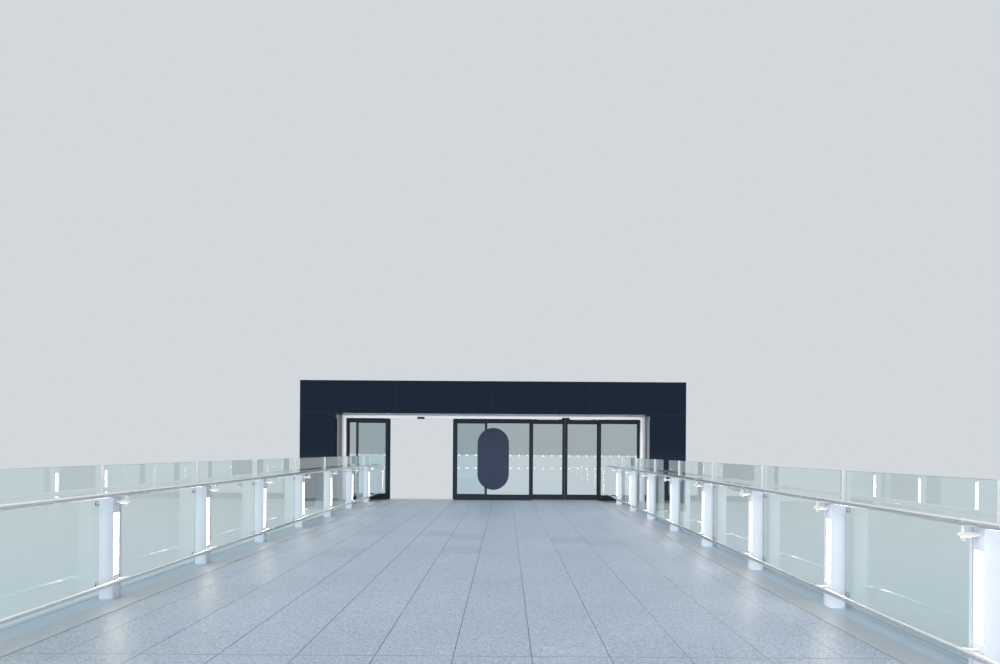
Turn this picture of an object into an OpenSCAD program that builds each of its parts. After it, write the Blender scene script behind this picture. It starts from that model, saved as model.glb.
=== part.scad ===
// Pedestrian link bridge with lit balustrade posts and a portal with sliding doors at its far end.
// The walkway runs along +Y. The ground is at z = 0 and the walking surface is at deck_h.

/* [Bridge] */
// Height of the walking surface above the ground
deck_h = 5000; // [4600:50:6000]
// Number of whole balustrade bays
bays = 7; // [4:1:8]
// Spacing of the balustrade posts
bay_pitch = 2065; // [1900:5:2300]
// Distance from the near end of the deck to the first left post
near_margin = 700; // [600:10:900]
// Distance from the last left post to the face of the portal
far_margin = 950; // [930:10:1300]
// How much nearer the right posts stand than the left ones
right_stagger = 190; // [0:10:450]
// Half of the granite's width
granite_half = 3235; // [3100:5:3300]
// Width of the drain cover beside the granite
drain_w = 285; // [200:5:300]
// Width of the kerb strip, from the drain cover to the face of the edge beam
kerb_w = 330; // [315:5:400]
// Setback of the posts' inner faces from the drain cover
post_setback = 10; // [5:1:25]

/* [Deck] */
// Thickness of the granite slabs
granite_t = 40; // [30:1:60]
// Thickness of the concrete slab
slab_t = 180; // [150:5:250]
// Height of the edge beam
edge_beam_d = 260; // [220:5:300]
// Width of the edge beam
edge_beam_w = 150; // [120:5:160]
// Plate thickness of the edge beam
edge_beam_t = 12; // [8:1:16]

/* [Girders] */
// Distance from the centreline to a girder's web
girder_x = 2250; // [2100:10:2400]
// Depth of a girder at mid span
girder_mid_d = 650; // [600:10:700]
// Depth of a girder over its bearings
girder_end_d = 950; // [850:10:1000]
// Length of each curved haunch
haunch_l = 3000; // [2500:50:4000]
// Width of a girder's flanges
flange_w = 420; // [360:10:480]
// Thickness of a girder's flanges
flange_t = 28; // [20:1:35]
// Thickness of a girder's web
web_t = 24; // [16:2:30]
// Depth of the cross beams
cross_d = 420; // [380:10:440]
// Width of a cross beam's lower flange
cross_flange_w = 300; // [260:10:340]
// Width of a cross beam's box
cross_box_w = 140; // [120:5:180]
// Thickness of a cross beam's flange and ledge
cross_t = 20; // [14:1:24]
// Height of the ledge above a cross beam's flange
ledge_rise = 170; // [140:5:200]
// Thickness of the soffit panels
soffit_t = 30; // [20:1:40]
// Number of soffit panels across the bridge
soffit_count = 5; // [3:1:7]

/* [Piers] */
// Diameter of the columns
column_d = 480; // [400:10:560]
// Width of the square base plates
base_w = 900; // [850:10:1000]
// Thickness of the base plates
base_t = 50; // [40:5:70]
// Spacing of the anchor bolts
bolt_spacing = 720; // [700:10:740]
// Diameter of the anchor bolt holes
bolt_hole_d = 42; // [30:1:48]
// Depth of the crossheads over the columns
crosshead_d = 650; // [600:10:750]
// Depth of the crossheads at their tips
crosshead_tip_d = 300; // [250:10:400]
// Width of the crossheads along the bridge
crosshead_w = 620; // [580:10:700]
// Distance from the centreline to the tips of the crossheads
crosshead_half = 2950; // [2850:10:3200]
// Height of the bearing shoes
shoe_h = 90; // [80:5:120]

/* [Balustrade] */
// Width of a post across the bridge
post_w = 138; // [130:1:150]
// Depth of a post along the bridge
post_d = 150; // [146:1:160]
// Height of the posts
post_h = 1015; // [1005:1:1017]
// Height of the glass above the deck
glass_h = 1330; // [1250:5:1400]
// Thickness of the glass
glass_t = 20; // [16:1:24]
// Gap between the posts and the glass
glass_gap = 36; // [32:1:45]
// Gap between two sheets of glass
sheet_gap = 12; // [8:1:16]
// Clearance under the glass
glass_lift = 15; // [10:1:25]
// Height of the handrail's centre
handrail_h = 1055; // [1045:1:1070]
// Diameter of the handrail
handrail_d = 50; // [42:1:54]
// Distance from the post's inner face to the centres of the rails
rail_reach = 110; // [100:1:115]
// Height of the low rail's centre
low_rail_h = 195; // [180:5:205]
// Diameter of the low rail
low_rail_d = 45; // [38:1:48]
// Height of the bottom of a post light
light_low = 240; // [235:5:300]
// Height of the top of a post light
light_top = 860; // [760:5:900]
// Width of a post light
light_w = 92; // [84:1:100]

/* [Portal] */
// Width of each dark glass cheek beside the frame
cheek_w = 1050; // [900:10:1400]
// Depth of the recess from the dark glass to the white frame
recess_d = 690; // [600:10:750]
// Height of the door head above the deck
head_h = 2450; // [2300:5:2600]
// Height of the white frame's head
frame_head_h = 110; // [110:5:180]
// Height of the glass fascia
fascia_h = 950; // [850:10:1200]
// Half of the centre screen's width
centre_half = 1170; // [1150:5:1300]
// Width of a doorway between the screens
doorway_w = 2000; // [1900:10:2080]
// Width of a side screen
side_screen_w = 1250; // [1220:5:1320]
// Width of the white frame's jambs
jamb_w = 135; // [130:5:200]
// Thickness of the fixed screens
screen_t = 50; // [44:1:56]
// Thickness of the door leaves
leaf_t = 44; // [40:1:48]
// Travel of each door leaf
leaf_travel = 945; // [900:5:970]

/* [Hidden] */
$fn = 48;
// Clearance between pieces that must not touch but seat on each other
seat = 0.3;
// Clearance round pieces that move
free = 12;
// Overlap that makes a cut pass right through
over = 2;

// Places along the bridge, from the near end to the terminal side
landing_lip = 60;
frame_front = -40;
landing_front = recess_d - frame_front + landing_lip;
landing_back = 460;
walk_l = near_margin + bays * bay_pitch + far_margin;
total_l = walk_l + landing_back;
near_y = -total_l / 2;
far_y = total_l / 2;
portal_y = near_y + walk_l;
landing_y = portal_y - landing_front;
end_inset = 100;
near_bearing_y = near_y + near_margin;
terminal_bearing_y = portal_y;
left_y = near_y + near_margin;
right_y = left_y - right_stagger;

// Heights
slab_top = deck_h - granite_t;
slab_low = slab_top - slab_t;
girder_low = slab_low - girder_end_d;
crosshead_top = girder_low - shoe_h;
column_top = crosshead_top - crosshead_d;
edge_low = slab_top - edge_beam_d;
rail_end_y = portal_y - 80;
head_z = deck_h + head_h;
fascia_z = head_z + frame_head_h;

// Places across the bridge
drain_x = granite_half + drain_w;
edge_x = drain_x + kerb_w;
post_inner_x = drain_x + post_setback;
post_outer_x = post_inner_x + post_w;
glass_x = post_outer_x + glass_gap;
rail_x = post_inner_x - rail_reach;
slab_edge_x = edge_x - edge_beam_w;
bay_outer = centre_half + doorway_w;
jamb_x = bay_outer + side_screen_w;
cheek_x = jamb_x + jamb_w;
portal_half = cheek_x + cheek_w;

// Small parts of the girders and cross beams
stiffener_t = 16;
stiffener_inset = 12;
haunch_steps = 12;
packer_clear = 5;
joint_w = 12;
joint_d = 8;
ledge_w = cross_box_w + 110;
ledge_bearing = 45;
cross_low = slab_low - cross_d;
panel_low = cross_low + ledge_rise + cross_t;
side_panel_gap = 60;
outrigger_web_t = 20;
outrigger_flange_w = 160;
outrigger_flange_t = 16;
outrigger_root_d = 480;
outrigger_tip_d = 140;
outrigger_tip_x = edge_x - 20;
bracket_root_d = 560;
bracket_tip_d = 240;
bracket_web_t = 24;
bracket_flange_w = 260;
bracket_flange_t = 24;

// Layers of the portal, measured back from its face
frame_step = 35;
step_front = frame_front + frame_step;
screen_front = 60;
screen_back = screen_front + screen_t;
leaf_front = screen_back + free;
leaf_back = leaf_front + leaf_t;
leaf_mid = (leaf_front + leaf_back) / 2;
frame_back = 280;
panel_t = 20;
panel_front = frame_front - recess_d;
cheek_front = panel_front + panel_t;
fascia_back = 400;
core_x = cheek_x + panel_t;
core_z = fascia_z + panel_t;
fascia_top = fascia_z + fascia_h;
threshold_t = 6;
leaf_lift = threshold_t + 8;
leaf_head_clear = 10;

// A repeated item for each balustrade post on one side, -1 for the left and 1 for the right
function post_start(side) = side < 0 ? left_y : right_y;
function post_ys(side) = [for (i = [0 : bays]) post_start(side) + i * bay_pitch];
frame_ys = [for (i = [0 : bays]) left_y + i * bay_pitch];
bay_mid_ys = [for (i = [0 : bays - 1]) left_y + (i + 0.5) * bay_pitch];
beam_ys = concat(frame_ys, [terminal_bearing_y]);
stiffener_ys = [for (y = [near_bearing_y, terminal_bearing_y], offset = [-1, 1])
  y + offset * crosshead_w / 3];
// Joints between the sheets of glass, with the two free ends
function glass_joints(side) = concat([near_y], post_ys(side), [rail_end_y]);

// A box from one corner to the other
module span(low, high) {
  translate(low) cube(high - low);
}

// A profile drawn in Y and Z, extruded along X about x = 0
module along_x(length) {
  rotate([90, 0, 90]) translate([0, 0, -length / 2]) linear_extrude(length) children();
}

// A profile drawn in X and Z, extruded along Y about y = 0
module along_y(length) {
  rotate([90, 0, 0]) translate([0, 0, -length / 2]) linear_extrude(length) children();
}

// The same solid on the right and, mirrored, on the left
module both_sides() {
  children();
  mirror([1, 0, 0]) children();
}

// Deck

module deck_slab() {
  color("darkgray")
    span([-slab_edge_x, near_y, slab_low], [slab_edge_x, landing_y, slab_top]);
}

module landing_slab() {
  color("darkgray") difference() {
    span([-portal_half, landing_y, slab_low], [portal_half, far_y, deck_h]);
    span([-granite_half, landing_y - over, slab_top], [granite_half, far_y + over, deck_h + over]);
  }
}

module granite_paving() {
  color("lightslategray")
    span([-granite_half, near_y, slab_top], [granite_half, far_y, deck_h]);
}

// Drain covers: plain plates, with the slot that takes the water along the granite's edge
drain_slot_w = 8;
drain_slot_d = 25;
cover_joint_w = 4;
cover_joint_d = 6;
module drain_covers() {
  color("gray") both_sides() difference() {
    span([granite_half, near_y, slab_top], [drain_x, landing_y, deck_h]);
    span([granite_half - over, near_y - over, deck_h - drain_slot_d],
      [granite_half + drain_slot_w, landing_y + over, deck_h + over]);
    for (y = bay_mid_ys)
      span([granite_half, y - cover_joint_w / 2, deck_h - cover_joint_d],
        [drain_x + over, y + cover_joint_w / 2, deck_h + over]);
  }
}

kerb_nose = 10;
module kerb_strips() {
  color("lightsteelblue") both_sides() translate([0, (near_y + landing_y) / 2, 0])
    along_y(landing_y - near_y)
      polygon([[drain_x, slab_top], [edge_x, slab_top], [edge_x, deck_h - kerb_nose],
        [edge_x - kerb_nose, deck_h], [drain_x, deck_h]]);
}

module edge_beams() {
  color("whitesmoke") both_sides() difference() {
    span([slab_edge_x, near_y, edge_low], [edge_x, landing_y, slab_top]);
    span([slab_edge_x - over, near_y - over, edge_low + edge_beam_t],
      [edge_x - edge_beam_t, landing_y + over, slab_top - edge_beam_t]);
  }
}

// Girders and floor beams

// Depth of a girder at a place along it: deep over the bearings, curved up to mid span
girder_near_y = near_y + end_inset;
girder_far_y = far_y - end_inset;
function haunch_share(t) = (1 - t) * (1 - t);
function haunch_depth(t) = girder_mid_d + (girder_end_d - girder_mid_d) * haunch_share(t);
near_haunch_y = near_bearing_y + crosshead_w / 2;
far_haunch_y = terminal_bearing_y - crosshead_w / 2;
girder_soffit = concat(
  [[girder_near_y, slab_low - girder_end_d]],
  [for (i = [0 : haunch_steps]) let (t = i / haunch_steps)
    [near_haunch_y + haunch_l * t, slab_low - haunch_depth(t)]],
  [for (i = [haunch_steps : -1 : 0]) let (t = i / haunch_steps)
    [far_haunch_y - haunch_l * t, slab_low - haunch_depth(t)]],
  [[girder_far_y, slab_low - girder_end_d]]);
function raised(points, rise) = [for (p = points) [p[0], p[1] + rise]];
function reversed(points) = [for (i = [len(points) - 1 : -1 : 0]) points[i]];

module girder_web_outline() {
  polygon(concat(girder_soffit, [[girder_far_y, slab_low], [girder_near_y, slab_low]]));
}

module girder_flange_outline() {
  polygon(concat(girder_soffit, reversed(raised(girder_soffit, flange_t))));
}

module bearing_stiffener(y) {
  span([-flange_w / 2 + stiffener_inset, y - stiffener_t / 2, girder_low + flange_t / 2],
    [flange_w / 2 - stiffener_inset, y + stiffener_t / 2, slab_low - flange_t / 2]);
}

// Splice of a girder: a cover plate on each face of the web and one under the lower flange
splice_bay = floor(bays / 3);
splice_ys = [bay_mid_ys[splice_bay], bay_mid_ys[bays - 1 - splice_bay]];
web_cover_l = 520;
web_cover_t = 12;
flange_cover_l = 720;
flange_cover_t = 16;
cover_inset = 20;
module girder_splice(y) {
  mid_low = slab_low - girder_mid_d;
  span([-web_t / 2 - web_cover_t, y - web_cover_l / 2, mid_low + flange_t + cover_inset],
    [web_t / 2 + web_cover_t, y + web_cover_l / 2, panel_low - cover_inset]);
  span([-flange_w / 2 + cover_inset, y - flange_cover_l / 2, mid_low - flange_cover_t],
    [flange_w / 2 - cover_inset, y + flange_cover_l / 2, mid_low + flange_t / 2]);
}

module girder(side) {
  color("whitesmoke") translate([side * girder_x, 0, 0]) {
    for (y = splice_ys) girder_splice(y);
    along_x(web_t) girder_web_outline();
    along_x(flange_w) girder_flange_outline();
    span([-flange_w / 2, girder_near_y, slab_low - flange_t], [flange_w / 2, girder_far_y, slab_low]);
    for (y = stiffener_ys) bearing_stiffener(y);
  }
}

module left_girder() { girder(-1); }
module right_girder() { girder(1); }

// Outline of a cross beam: a wide flange below, a ledge for the soffit and a box between
module cross_outline() {
  translate([-cross_flange_w / 2, cross_low]) square([cross_flange_w, cross_t]);
  translate([-ledge_w / 2, cross_low + ledge_rise]) square([ledge_w, cross_t]);
  translate([-cross_box_w / 2, cross_low]) square([cross_box_w, cross_d]);
}

module cross_beams() {
  length = 2 * girder_x - web_t;
  flange_edge = girder_x - flange_w / 2;
  color("whitesmoke") for (y = beam_ys) translate([0, y, 0]) difference() {
    along_x(length) cross_outline();
    for (side = [-1, 1]) mirror([side < 0 ? 1 : 0, 0, 0])
      span([flange_edge - packer_clear, -cross_flange_w, slab_low - flange_t - packer_clear],
        [girder_x + over, cross_flange_w, slab_low + over]);
  }
}

// Soffit panels: one plate a bay with joints cut in its face, and plates outside the girders
module middle_soffit(y_low, y_high) {
  half = girder_x - web_t / 2 - packer_clear;
  panel_pitch = 2 * half / soffit_count;
  difference() {
    span([-half, y_low, panel_low], [half, y_high, panel_low + soffit_t]);
    for (i = [1 : soffit_count - 1])
      span([-half + i * panel_pitch - joint_w / 2, y_low - over, panel_low - over],
        [-half + i * panel_pitch + joint_w / 2, y_high + over, panel_low + joint_d]);
    for (y = stiffener_ys) both_sides() stiffener_notch(y);
  }
}

// Room in a soffit panel for a girder's bearing stiffener
module stiffener_notch(y) {
  reach = flange_w / 2 - stiffener_inset + packer_clear;
  span([girder_x - reach, y - stiffener_t / 2 - packer_clear, panel_low - over],
    [girder_x + over, y + stiffener_t / 2 + packer_clear, panel_low + soffit_t + over]);
}

module side_soffit(side, y_low, y_high) {
  x_low = girder_x + flange_w / 2 + packer_clear;
  x_high = slab_edge_x - side_panel_gap;
  mirror([side < 0 ? 1 : 0, 0, 0])
    span([x_low, y_low, slab_low - soffit_t], [x_high, y_high, slab_low]);
}

module soffit_panels() {
  side_gap = outrigger_web_t / 2 + packer_clear;
  middle_gap = ledge_w / 2 - ledge_bearing;
  bracket_gap = bracket_flange_w / 2 + packer_clear;
  color("gainsboro") {
    for (i = [0 : bays]) middle_soffit(beam_ys[i] + middle_gap, beam_ys[i + 1] - middle_gap);
    for (side = [-1, 1]) {
      for (i = [0 : bays - 1]) side_soffit(side, beam_ys[i] + side_gap, beam_ys[i + 1] - side_gap);
      side_soffit(side, beam_ys[bays] + side_gap, bracket_ys[0] - bracket_gap);
      side_soffit(side, bracket_ys[0] + bracket_gap, bracket_ys[1] - bracket_gap);
    }
  }
}

// Outriggers: tapered brackets from the girder webs that carry the edge beams
module outrigger() {
  root_x = girder_x + web_t / 2;
  flange_edge = girder_x + flange_w / 2 + packer_clear;
  root_low = slab_low - outrigger_root_d;
  tip_low = edge_low - outrigger_tip_d;
  along_y(outrigger_web_t)
    polygon([[root_x, root_low], [outrigger_tip_x, tip_low], [outrigger_tip_x, edge_low],
      [slab_edge_x - packer_clear, edge_low], [slab_edge_x - packer_clear, slab_low],
      [flange_edge, slab_low], [flange_edge, slab_low - flange_t - packer_clear],
      [root_x, slab_low - flange_t - packer_clear]]);
  along_y(outrigger_flange_w)
    polygon([[root_x, root_low], [outrigger_tip_x, tip_low],
      [outrigger_tip_x, tip_low - outrigger_flange_t], [root_x, root_low - outrigger_flange_t]]);
}

module outriggers() {
  color("whitesmoke") for (y = frame_ys) both_sides() translate([0, y, 0]) outrigger();
}

// Brackets that carry the ends of the landing under the front and the back of the portal's cheeks
bracket_tip_x = portal_half - 60;
bracket_inset = 10;
bracket_ys = [landing_y + bracket_flange_w / 2 + bracket_inset, terminal_bearing_y];
module landing_bracket(y) {
  root_x = girder_x + web_t / 2;
  flange_edge = girder_x + flange_w / 2 + packer_clear;
  under = slab_low - flange_t - packer_clear;
  translate([0, y, 0]) {
    along_y(bracket_web_t)
      polygon([[root_x, slab_low - bracket_root_d], [bracket_tip_x, slab_low - bracket_tip_d],
        [bracket_tip_x, slab_low], [flange_edge, slab_low], [flange_edge, under], [root_x, under]]);
    along_y(bracket_flange_w)
      polygon([[root_x, slab_low - bracket_root_d], [bracket_tip_x, slab_low - bracket_tip_d],
        [bracket_tip_x, slab_low - bracket_tip_d - bracket_flange_t],
        [root_x, slab_low - bracket_root_d - bracket_flange_t]]);
    span([flange_edge, -bracket_flange_w / 2, slab_low - bracket_flange_t],
      [bracket_tip_x, bracket_flange_w / 2, slab_low]);
  }
}

module landing_brackets() {
  color("whitesmoke") for (y = bracket_ys) both_sides() landing_bracket(y);
}

// Piers

shoe_w = 380;
shoe_plate_t = 25;
shoe_pot_d = 300;
module bearing_shoe() {
  span([-shoe_w / 2, -shoe_w / 2, crosshead_top], [shoe_w / 2, shoe_w / 2, crosshead_top + shoe_plate_t]);
  translate([0, 0, crosshead_top]) cylinder(d = shoe_pot_d, h = shoe_h);
  span([-shoe_w / 2, -shoe_w / 2, girder_low - shoe_plate_t], [shoe_w / 2, shoe_w / 2, girder_low]);
}

module bearing_shoes() {
  color("dimgray") for (y = [near_bearing_y, terminal_bearing_y]) both_sides()
    translate([girder_x, y, 0]) bearing_shoe();
}

crosshead_flat = 420;
module crosshead(y) {
  haunch_x = girder_x + crosshead_flat;
  color("whitesmoke") translate([0, y, 0]) along_y(crosshead_w)
    polygon([[-crosshead_half, crosshead_top], [-crosshead_half, crosshead_top - crosshead_tip_d],
      [-haunch_x, column_top], [haunch_x, column_top],
      [crosshead_half, crosshead_top - crosshead_tip_d], [crosshead_half, crosshead_top]]);
}

module near_crosshead() { crosshead(near_bearing_y); }
module terminal_crosshead() { crosshead(terminal_bearing_y); }

gusset_h = 300;
gusset_t = 20;
gusset_inset = 40;
column_bore_d = column_d - 60;
cap_t = 30;
cap_w = crosshead_w - 20;
module column() {
  difference() {
    union() {
      span([-base_w / 2, -base_w / 2, 0], [base_w / 2, base_w / 2, base_t]);
      translate([0, 0, base_t]) cylinder(d = column_d, h = column_top - base_t);
      for (a = [0 : 90 : 270]) rotate([0, 0, a]) along_y(gusset_t)
        polygon([[0, base_t], [base_w / 2 - gusset_inset, base_t],
          [base_w / 2 - gusset_inset, base_t + gusset_inset], [column_d / 2, base_t + gusset_h],
          [0, base_t + gusset_h]]);
      span([-cap_w / 2, -cap_w / 2, column_top - cap_t], [cap_w / 2, cap_w / 2, column_top]);
    }
    translate([0, 0, base_t]) cylinder(d = column_bore_d, h = column_top - base_t - cap_t);
    for (x = [-1, 1], y = [-1, 1])
      translate([x * bolt_spacing / 2, y * bolt_spacing / 2, -over])
        cylinder(d = bolt_hole_d, h = base_t + 2 * over);
  }
}

module columns(y) {
  color("white") both_sides() translate([girder_x, y, 0]) column();
}

module near_columns() { columns(near_bearing_y); }
module terminal_columns() { columns(terminal_bearing_y); }

// Balustrades

light_pocket = 30;
light_edge = 5;
post_light_t = 26;
// Shadow groove beside the light, with a strip of the post's face past it
strip_w = 30;
groove_w = 10;
groove_d = 8;
// Seam of the sheet that clads the post, on its near face
seam_inset = 20;
seam_w = 3;
seam_d = 3;
// The handrail's bracket stands over the middle of the light, off the post's centre
bracket_shift = light_edge + light_w / 2 - post_d / 2;
module post(y) {
  front = y - post_d / 2;
  back = y + post_d / 2;
  difference() {
    span([post_inner_x, front, deck_h], [post_outer_x, back, deck_h + post_h]);
    span([post_inner_x - over, front + light_edge, deck_h + light_low],
      [post_inner_x + light_pocket, front + light_edge + light_w, deck_h + light_top]);
    span([post_inner_x - over, back - strip_w - groove_w, deck_h - over],
      [post_inner_x + groove_d, back - strip_w, deck_h + post_h + over]);
    span([post_outer_x - seam_inset - seam_w, front - over, deck_h - over],
      [post_outer_x - seam_inset, front + seam_d, deck_h + post_h + over]);
  }
}

module posts(side) {
  color("white") mirror([side < 0 ? 1 : 0, 0, 0]) for (y = post_ys(side)) post(y);
}

module left_posts() { posts(-1); }
module right_posts() { posts(1); }

module post_light(y) {
  front = y - post_d / 2 + light_edge;
  span([post_inner_x + light_pocket - post_light_t, front + seat, deck_h + light_low + seat],
    [post_inner_x + light_pocket, front + light_w - seat, deck_h + light_top - seat]);
}

module post_lights() {
  color("lightyellow") for (side = [-1, 1]) mirror([side < 0 ? 1 : 0, 0, 0])
    for (y = post_ys(side)) post_light(y);
}

// Stanchion blades behind the posts, bored for the bars of the glass clamps
blade_t = 16;
clamp_bar_d = 14;
clamp_reach = 46;
clamp_disc_d = 54;
clamp_disc_t = 8;
clamp_low_h = 130;
clamp_high_h = 950;
clamp_bar_x = glass_x - clamp_disc_t - clamp_bar_d / 4;
clamp_hs = [clamp_low_h, clamp_high_h];

module stanchion(y) {
  difference() {
    span([post_outer_x, y - blade_t / 2, deck_h], [glass_x, y + blade_t / 2, deck_h + glass_h]);
    for (h = clamp_hs) translate([clamp_bar_x, y, deck_h + h]) rotate([90, 0, 0])
      cylinder(d = clamp_bar_d + 2 * seat, h = blade_t + 2 * over, center = true);
  }
}

module stanchions() {
  color("lightslategray") for (side = [-1, 1]) mirror([side < 0 ? 1 : 0, 0, 0])
    for (y = post_ys(side)) stanchion(y);
}

module disc(x, y, h) {
  translate([x, y, deck_h + h]) rotate([0, 90, 0]) cylinder(d = clamp_disc_d, h = clamp_disc_t);
}

// One clamp: a bar through the blade with a disc on each sheet, and a disc pair outside
module glass_clamp(y, h) {
  translate([clamp_bar_x, y, deck_h + h]) rotate([90, 0, 0])
    cylinder(d = clamp_bar_d, h = 2 * clamp_reach + clamp_bar_d, center = true);
  for (reach = [-clamp_reach, clamp_reach]) {
    disc(glass_x - clamp_disc_t, y + reach, h);
    disc(glass_x + glass_t, y + reach, h);
  }
}

module glass_clamps() {
  color("silver") for (side = [-1, 1]) mirror([side < 0 ? 1 : 0, 0, 0])
    for (y = post_ys(side), h = clamp_hs) glass_clamp(y, h);
}

module glass(side) {
  joints = glass_joints(side);
  color("lightcyan", 0.4) mirror([side < 0 ? 1 : 0, 0, 0])
    for (i = [0 : len(joints) - 2])
      span([glass_x, joints[i] + sheet_gap / 2, deck_h + glass_lift],
        [glass_x + glass_t, joints[i + 1] - sheet_gap / 2, deck_h + glass_h]);
}

module left_glass() { glass(-1); }
module right_glass() { glass(1); }

rail_end_inset = 30;
collar_l = 80;
collar_over = 4;
module rail(side, h, d, collar_shift) {
  translate([rail_x, near_y + rail_end_inset, deck_h + h]) rotate([-90, 0, 0])
    cylinder(d = d, h = rail_end_y - near_y - rail_end_inset);
  for (y = post_ys(side)) translate([rail_x, y + collar_shift - collar_l / 2, deck_h + h])
    rotate([-90, 0, 0]) cylinder(d = d + collar_over, h = collar_l);
}

module rails(h, d, collar_shift) {
  color("silver") for (side = [-1, 1]) mirror([side < 0 ? 1 : 0, 0, 0]) rail(side, h, d, collar_shift);
}

module handrails() { rails(handrail_h, handrail_d, bracket_shift); }
module low_rails() { rails(low_rail_h, low_rail_d, 0); }

// Brackets: an arm that thickens from the post to a ball, a stub through the ball up to the handrail,
// and an arm to the low rail
arm_root_d = 24;
arm_tip_d = 38;
ball_step = 1;
arm_over = 19;
arm_drop = 88;
stub_d = 28;
stub_below = 35;
low_arm_d = 22;
module rail_bracket(y) {
  arm_l = rail_reach + arm_over;
  arm_z = deck_h + handrail_h - arm_drop;
  translate([post_inner_x - arm_l, y, arm_z]) rotate([0, 90, 0])
    cylinder(d1 = arm_tip_d, d2 = arm_root_d, h = arm_l);
  translate([post_inner_x - arm_l, y, arm_z]) sphere(d = arm_tip_d - ball_step);
  translate([rail_x, y, arm_z - stub_below])
    cylinder(d = stub_d, h = stub_below + arm_drop - (handrail_d + collar_over) / 2 - seat);
}

module low_arm(y) {
  translate([rail_x + (low_rail_d + collar_over) / 2 + seat, y, deck_h + low_rail_h]) rotate([0, 90, 0])
    cylinder(d = low_arm_d, h = rail_reach - (low_rail_d + collar_over) / 2 - seat);
}

module rail_brackets() {
  color("silver") for (side = [-1, 1]) mirror([side < 0 ? 1 : 0, 0, 0])
    for (y = post_ys(side)) {
      rail_bracket(y + bracket_shift);
      low_arm(y);
    }
}

// Portal

// White frame: a proud inner band round the doors and a set-back outer band
inner_band_w = 75;
module portal_frame() {
  color("white") translate([0, portal_y, 0]) {
    both_sides() {
      span([jamb_x, frame_front, deck_h], [jamb_x + inner_band_w, frame_back, head_z + inner_band_w]);
      span([jamb_x, step_front, deck_h], [core_x, frame_back, core_z]);
    }
    span([-jamb_x, frame_front, head_z], [jamb_x, screen_back, head_z + inner_band_w]);
    span([-jamb_x, step_front, head_z], [jamb_x, screen_back, core_z]);
  }
}

coping_t = 8;
module fascia_box() {
  color("dimgray") translate([0, portal_y, 0]) {
    span([-portal_half, cheek_front, core_z], [portal_half, fascia_back, fascia_top]);
    span([-portal_half, panel_front, fascia_top - coping_t], [portal_half, fascia_back, fascia_top]);
  }
}

fascia_count = 4;
fascia_joint = 20;
half_joint = fascia_joint / 2;
module fascia_panels() {
  panel_pitch = 2 * portal_half / fascia_count;
  color("midnightblue") translate([0, portal_y, 0]) {
    for (i = [0 : fascia_count - 1])
      span([-portal_half + i * panel_pitch + half_joint, panel_front, fascia_z + half_joint],
        [-portal_half + (i + 1) * panel_pitch - half_joint, cheek_front, fascia_top - coping_t - half_joint]);
    for (i = [0 : fascia_count - 1])
      span([max(-core_x, -portal_half + i * panel_pitch + half_joint), cheek_front + half_joint, fascia_z],
        [min(core_x, -portal_half + (i + 1) * panel_pitch - half_joint), step_front, core_z]);
  }
}

module cheek() {
  color("dimgray") translate([0, portal_y, 0])
    span([core_x, cheek_front, deck_h], [portal_half, frame_back, core_z]);
}

module left_cheek() { mirror([1, 0, 0]) cheek(); }
module right_cheek() { cheek(); }

// Glass on the front of each cheek and on its return towards the white frame
module cheek_panels() {
  color("midnightblue") translate([0, portal_y, 0]) both_sides() {
    span([cheek_x, panel_front, deck_h + fascia_joint],
      [portal_half - half_joint, cheek_front, fascia_z - half_joint]);
    span([cheek_x, cheek_front + half_joint, deck_h + fascia_joint],
      [core_x, step_front, fascia_z - half_joint]);
  }
}

stile_w = 75;
screen_foot = 155;
screen_head = 120;
pane_t = 24;
screen_low = deck_h + threshold_t;
module framed(x_low, x_high, z_low, z_high, y_low, y_high, stile, foot, head) {
  difference() {
    span([x_low, y_low, z_low], [x_high, y_high, z_high]);
    span([x_low + stile, y_low - over, z_low + foot], [x_high - stile, y_high + over, z_high - head]);
  }
}

module side_screens() {
  color("darkslategray") translate([0, portal_y, 0]) both_sides()
    framed(bay_outer, jamb_x, screen_low, head_z, screen_front, screen_back,
      stile_w, screen_foot, screen_head);
}

module centre_screen() {
  color("darkslategray") translate([0, portal_y, 0])
    framed(-centre_half, centre_half, screen_low, head_z, screen_front, screen_back,
      stile_w, screen_foot, screen_head);
}

module pane(x_low, x_high, z_low, z_high, y_mid, stile, foot, head) {
  span([x_low + stile, y_mid - pane_t / 2, z_low + foot],
    [x_high - stile, y_mid + pane_t / 2, z_high - head]);
}

module screen_glass() {
  y_mid = (screen_front + screen_back) / 2;
  color("lightcyan", 0.4) translate([0, portal_y, 0]) {
    both_sides() pane(bay_outer, jamb_x, screen_low, head_z, y_mid, stile_w, screen_foot, screen_head);
    pane(-centre_half, centre_half, screen_low, head_z, y_mid, stile_w, screen_foot, screen_head);
  }
}

// Track: a housing behind the head, open below along a slot between two lips
track_wall = 8;
lip_t = 12;
lip_z = head_z + free;
hanger_t = 8;
slot_half = hanger_t / 2 + 6;
roller_d = 56;
roller_w = 22;
roller_gap = 10;
module door_track() {
  color("slategray") translate([0, portal_y, 0]) difference() {
    span([-jamb_x, screen_back, lip_z], [jamb_x, frame_back, core_z]);
    span([-jamb_x + track_wall, screen_back + track_wall, lip_z + lip_t],
      [jamb_x - track_wall, frame_back - track_wall, core_z - track_wall]);
    span([-jamb_x + track_wall, leaf_mid - slot_half, lip_z - over],
      [jamb_x - track_wall, leaf_mid + slot_half, lip_z + lip_t + over]);
  }
}

threshold_out = 120;
module threshold() {
  color("slategray") translate([0, portal_y, 0])
    span([-jamb_x, screen_front - threshold_out, deck_h], [jamb_x, frame_back, deck_h + threshold_t]);
}

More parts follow.
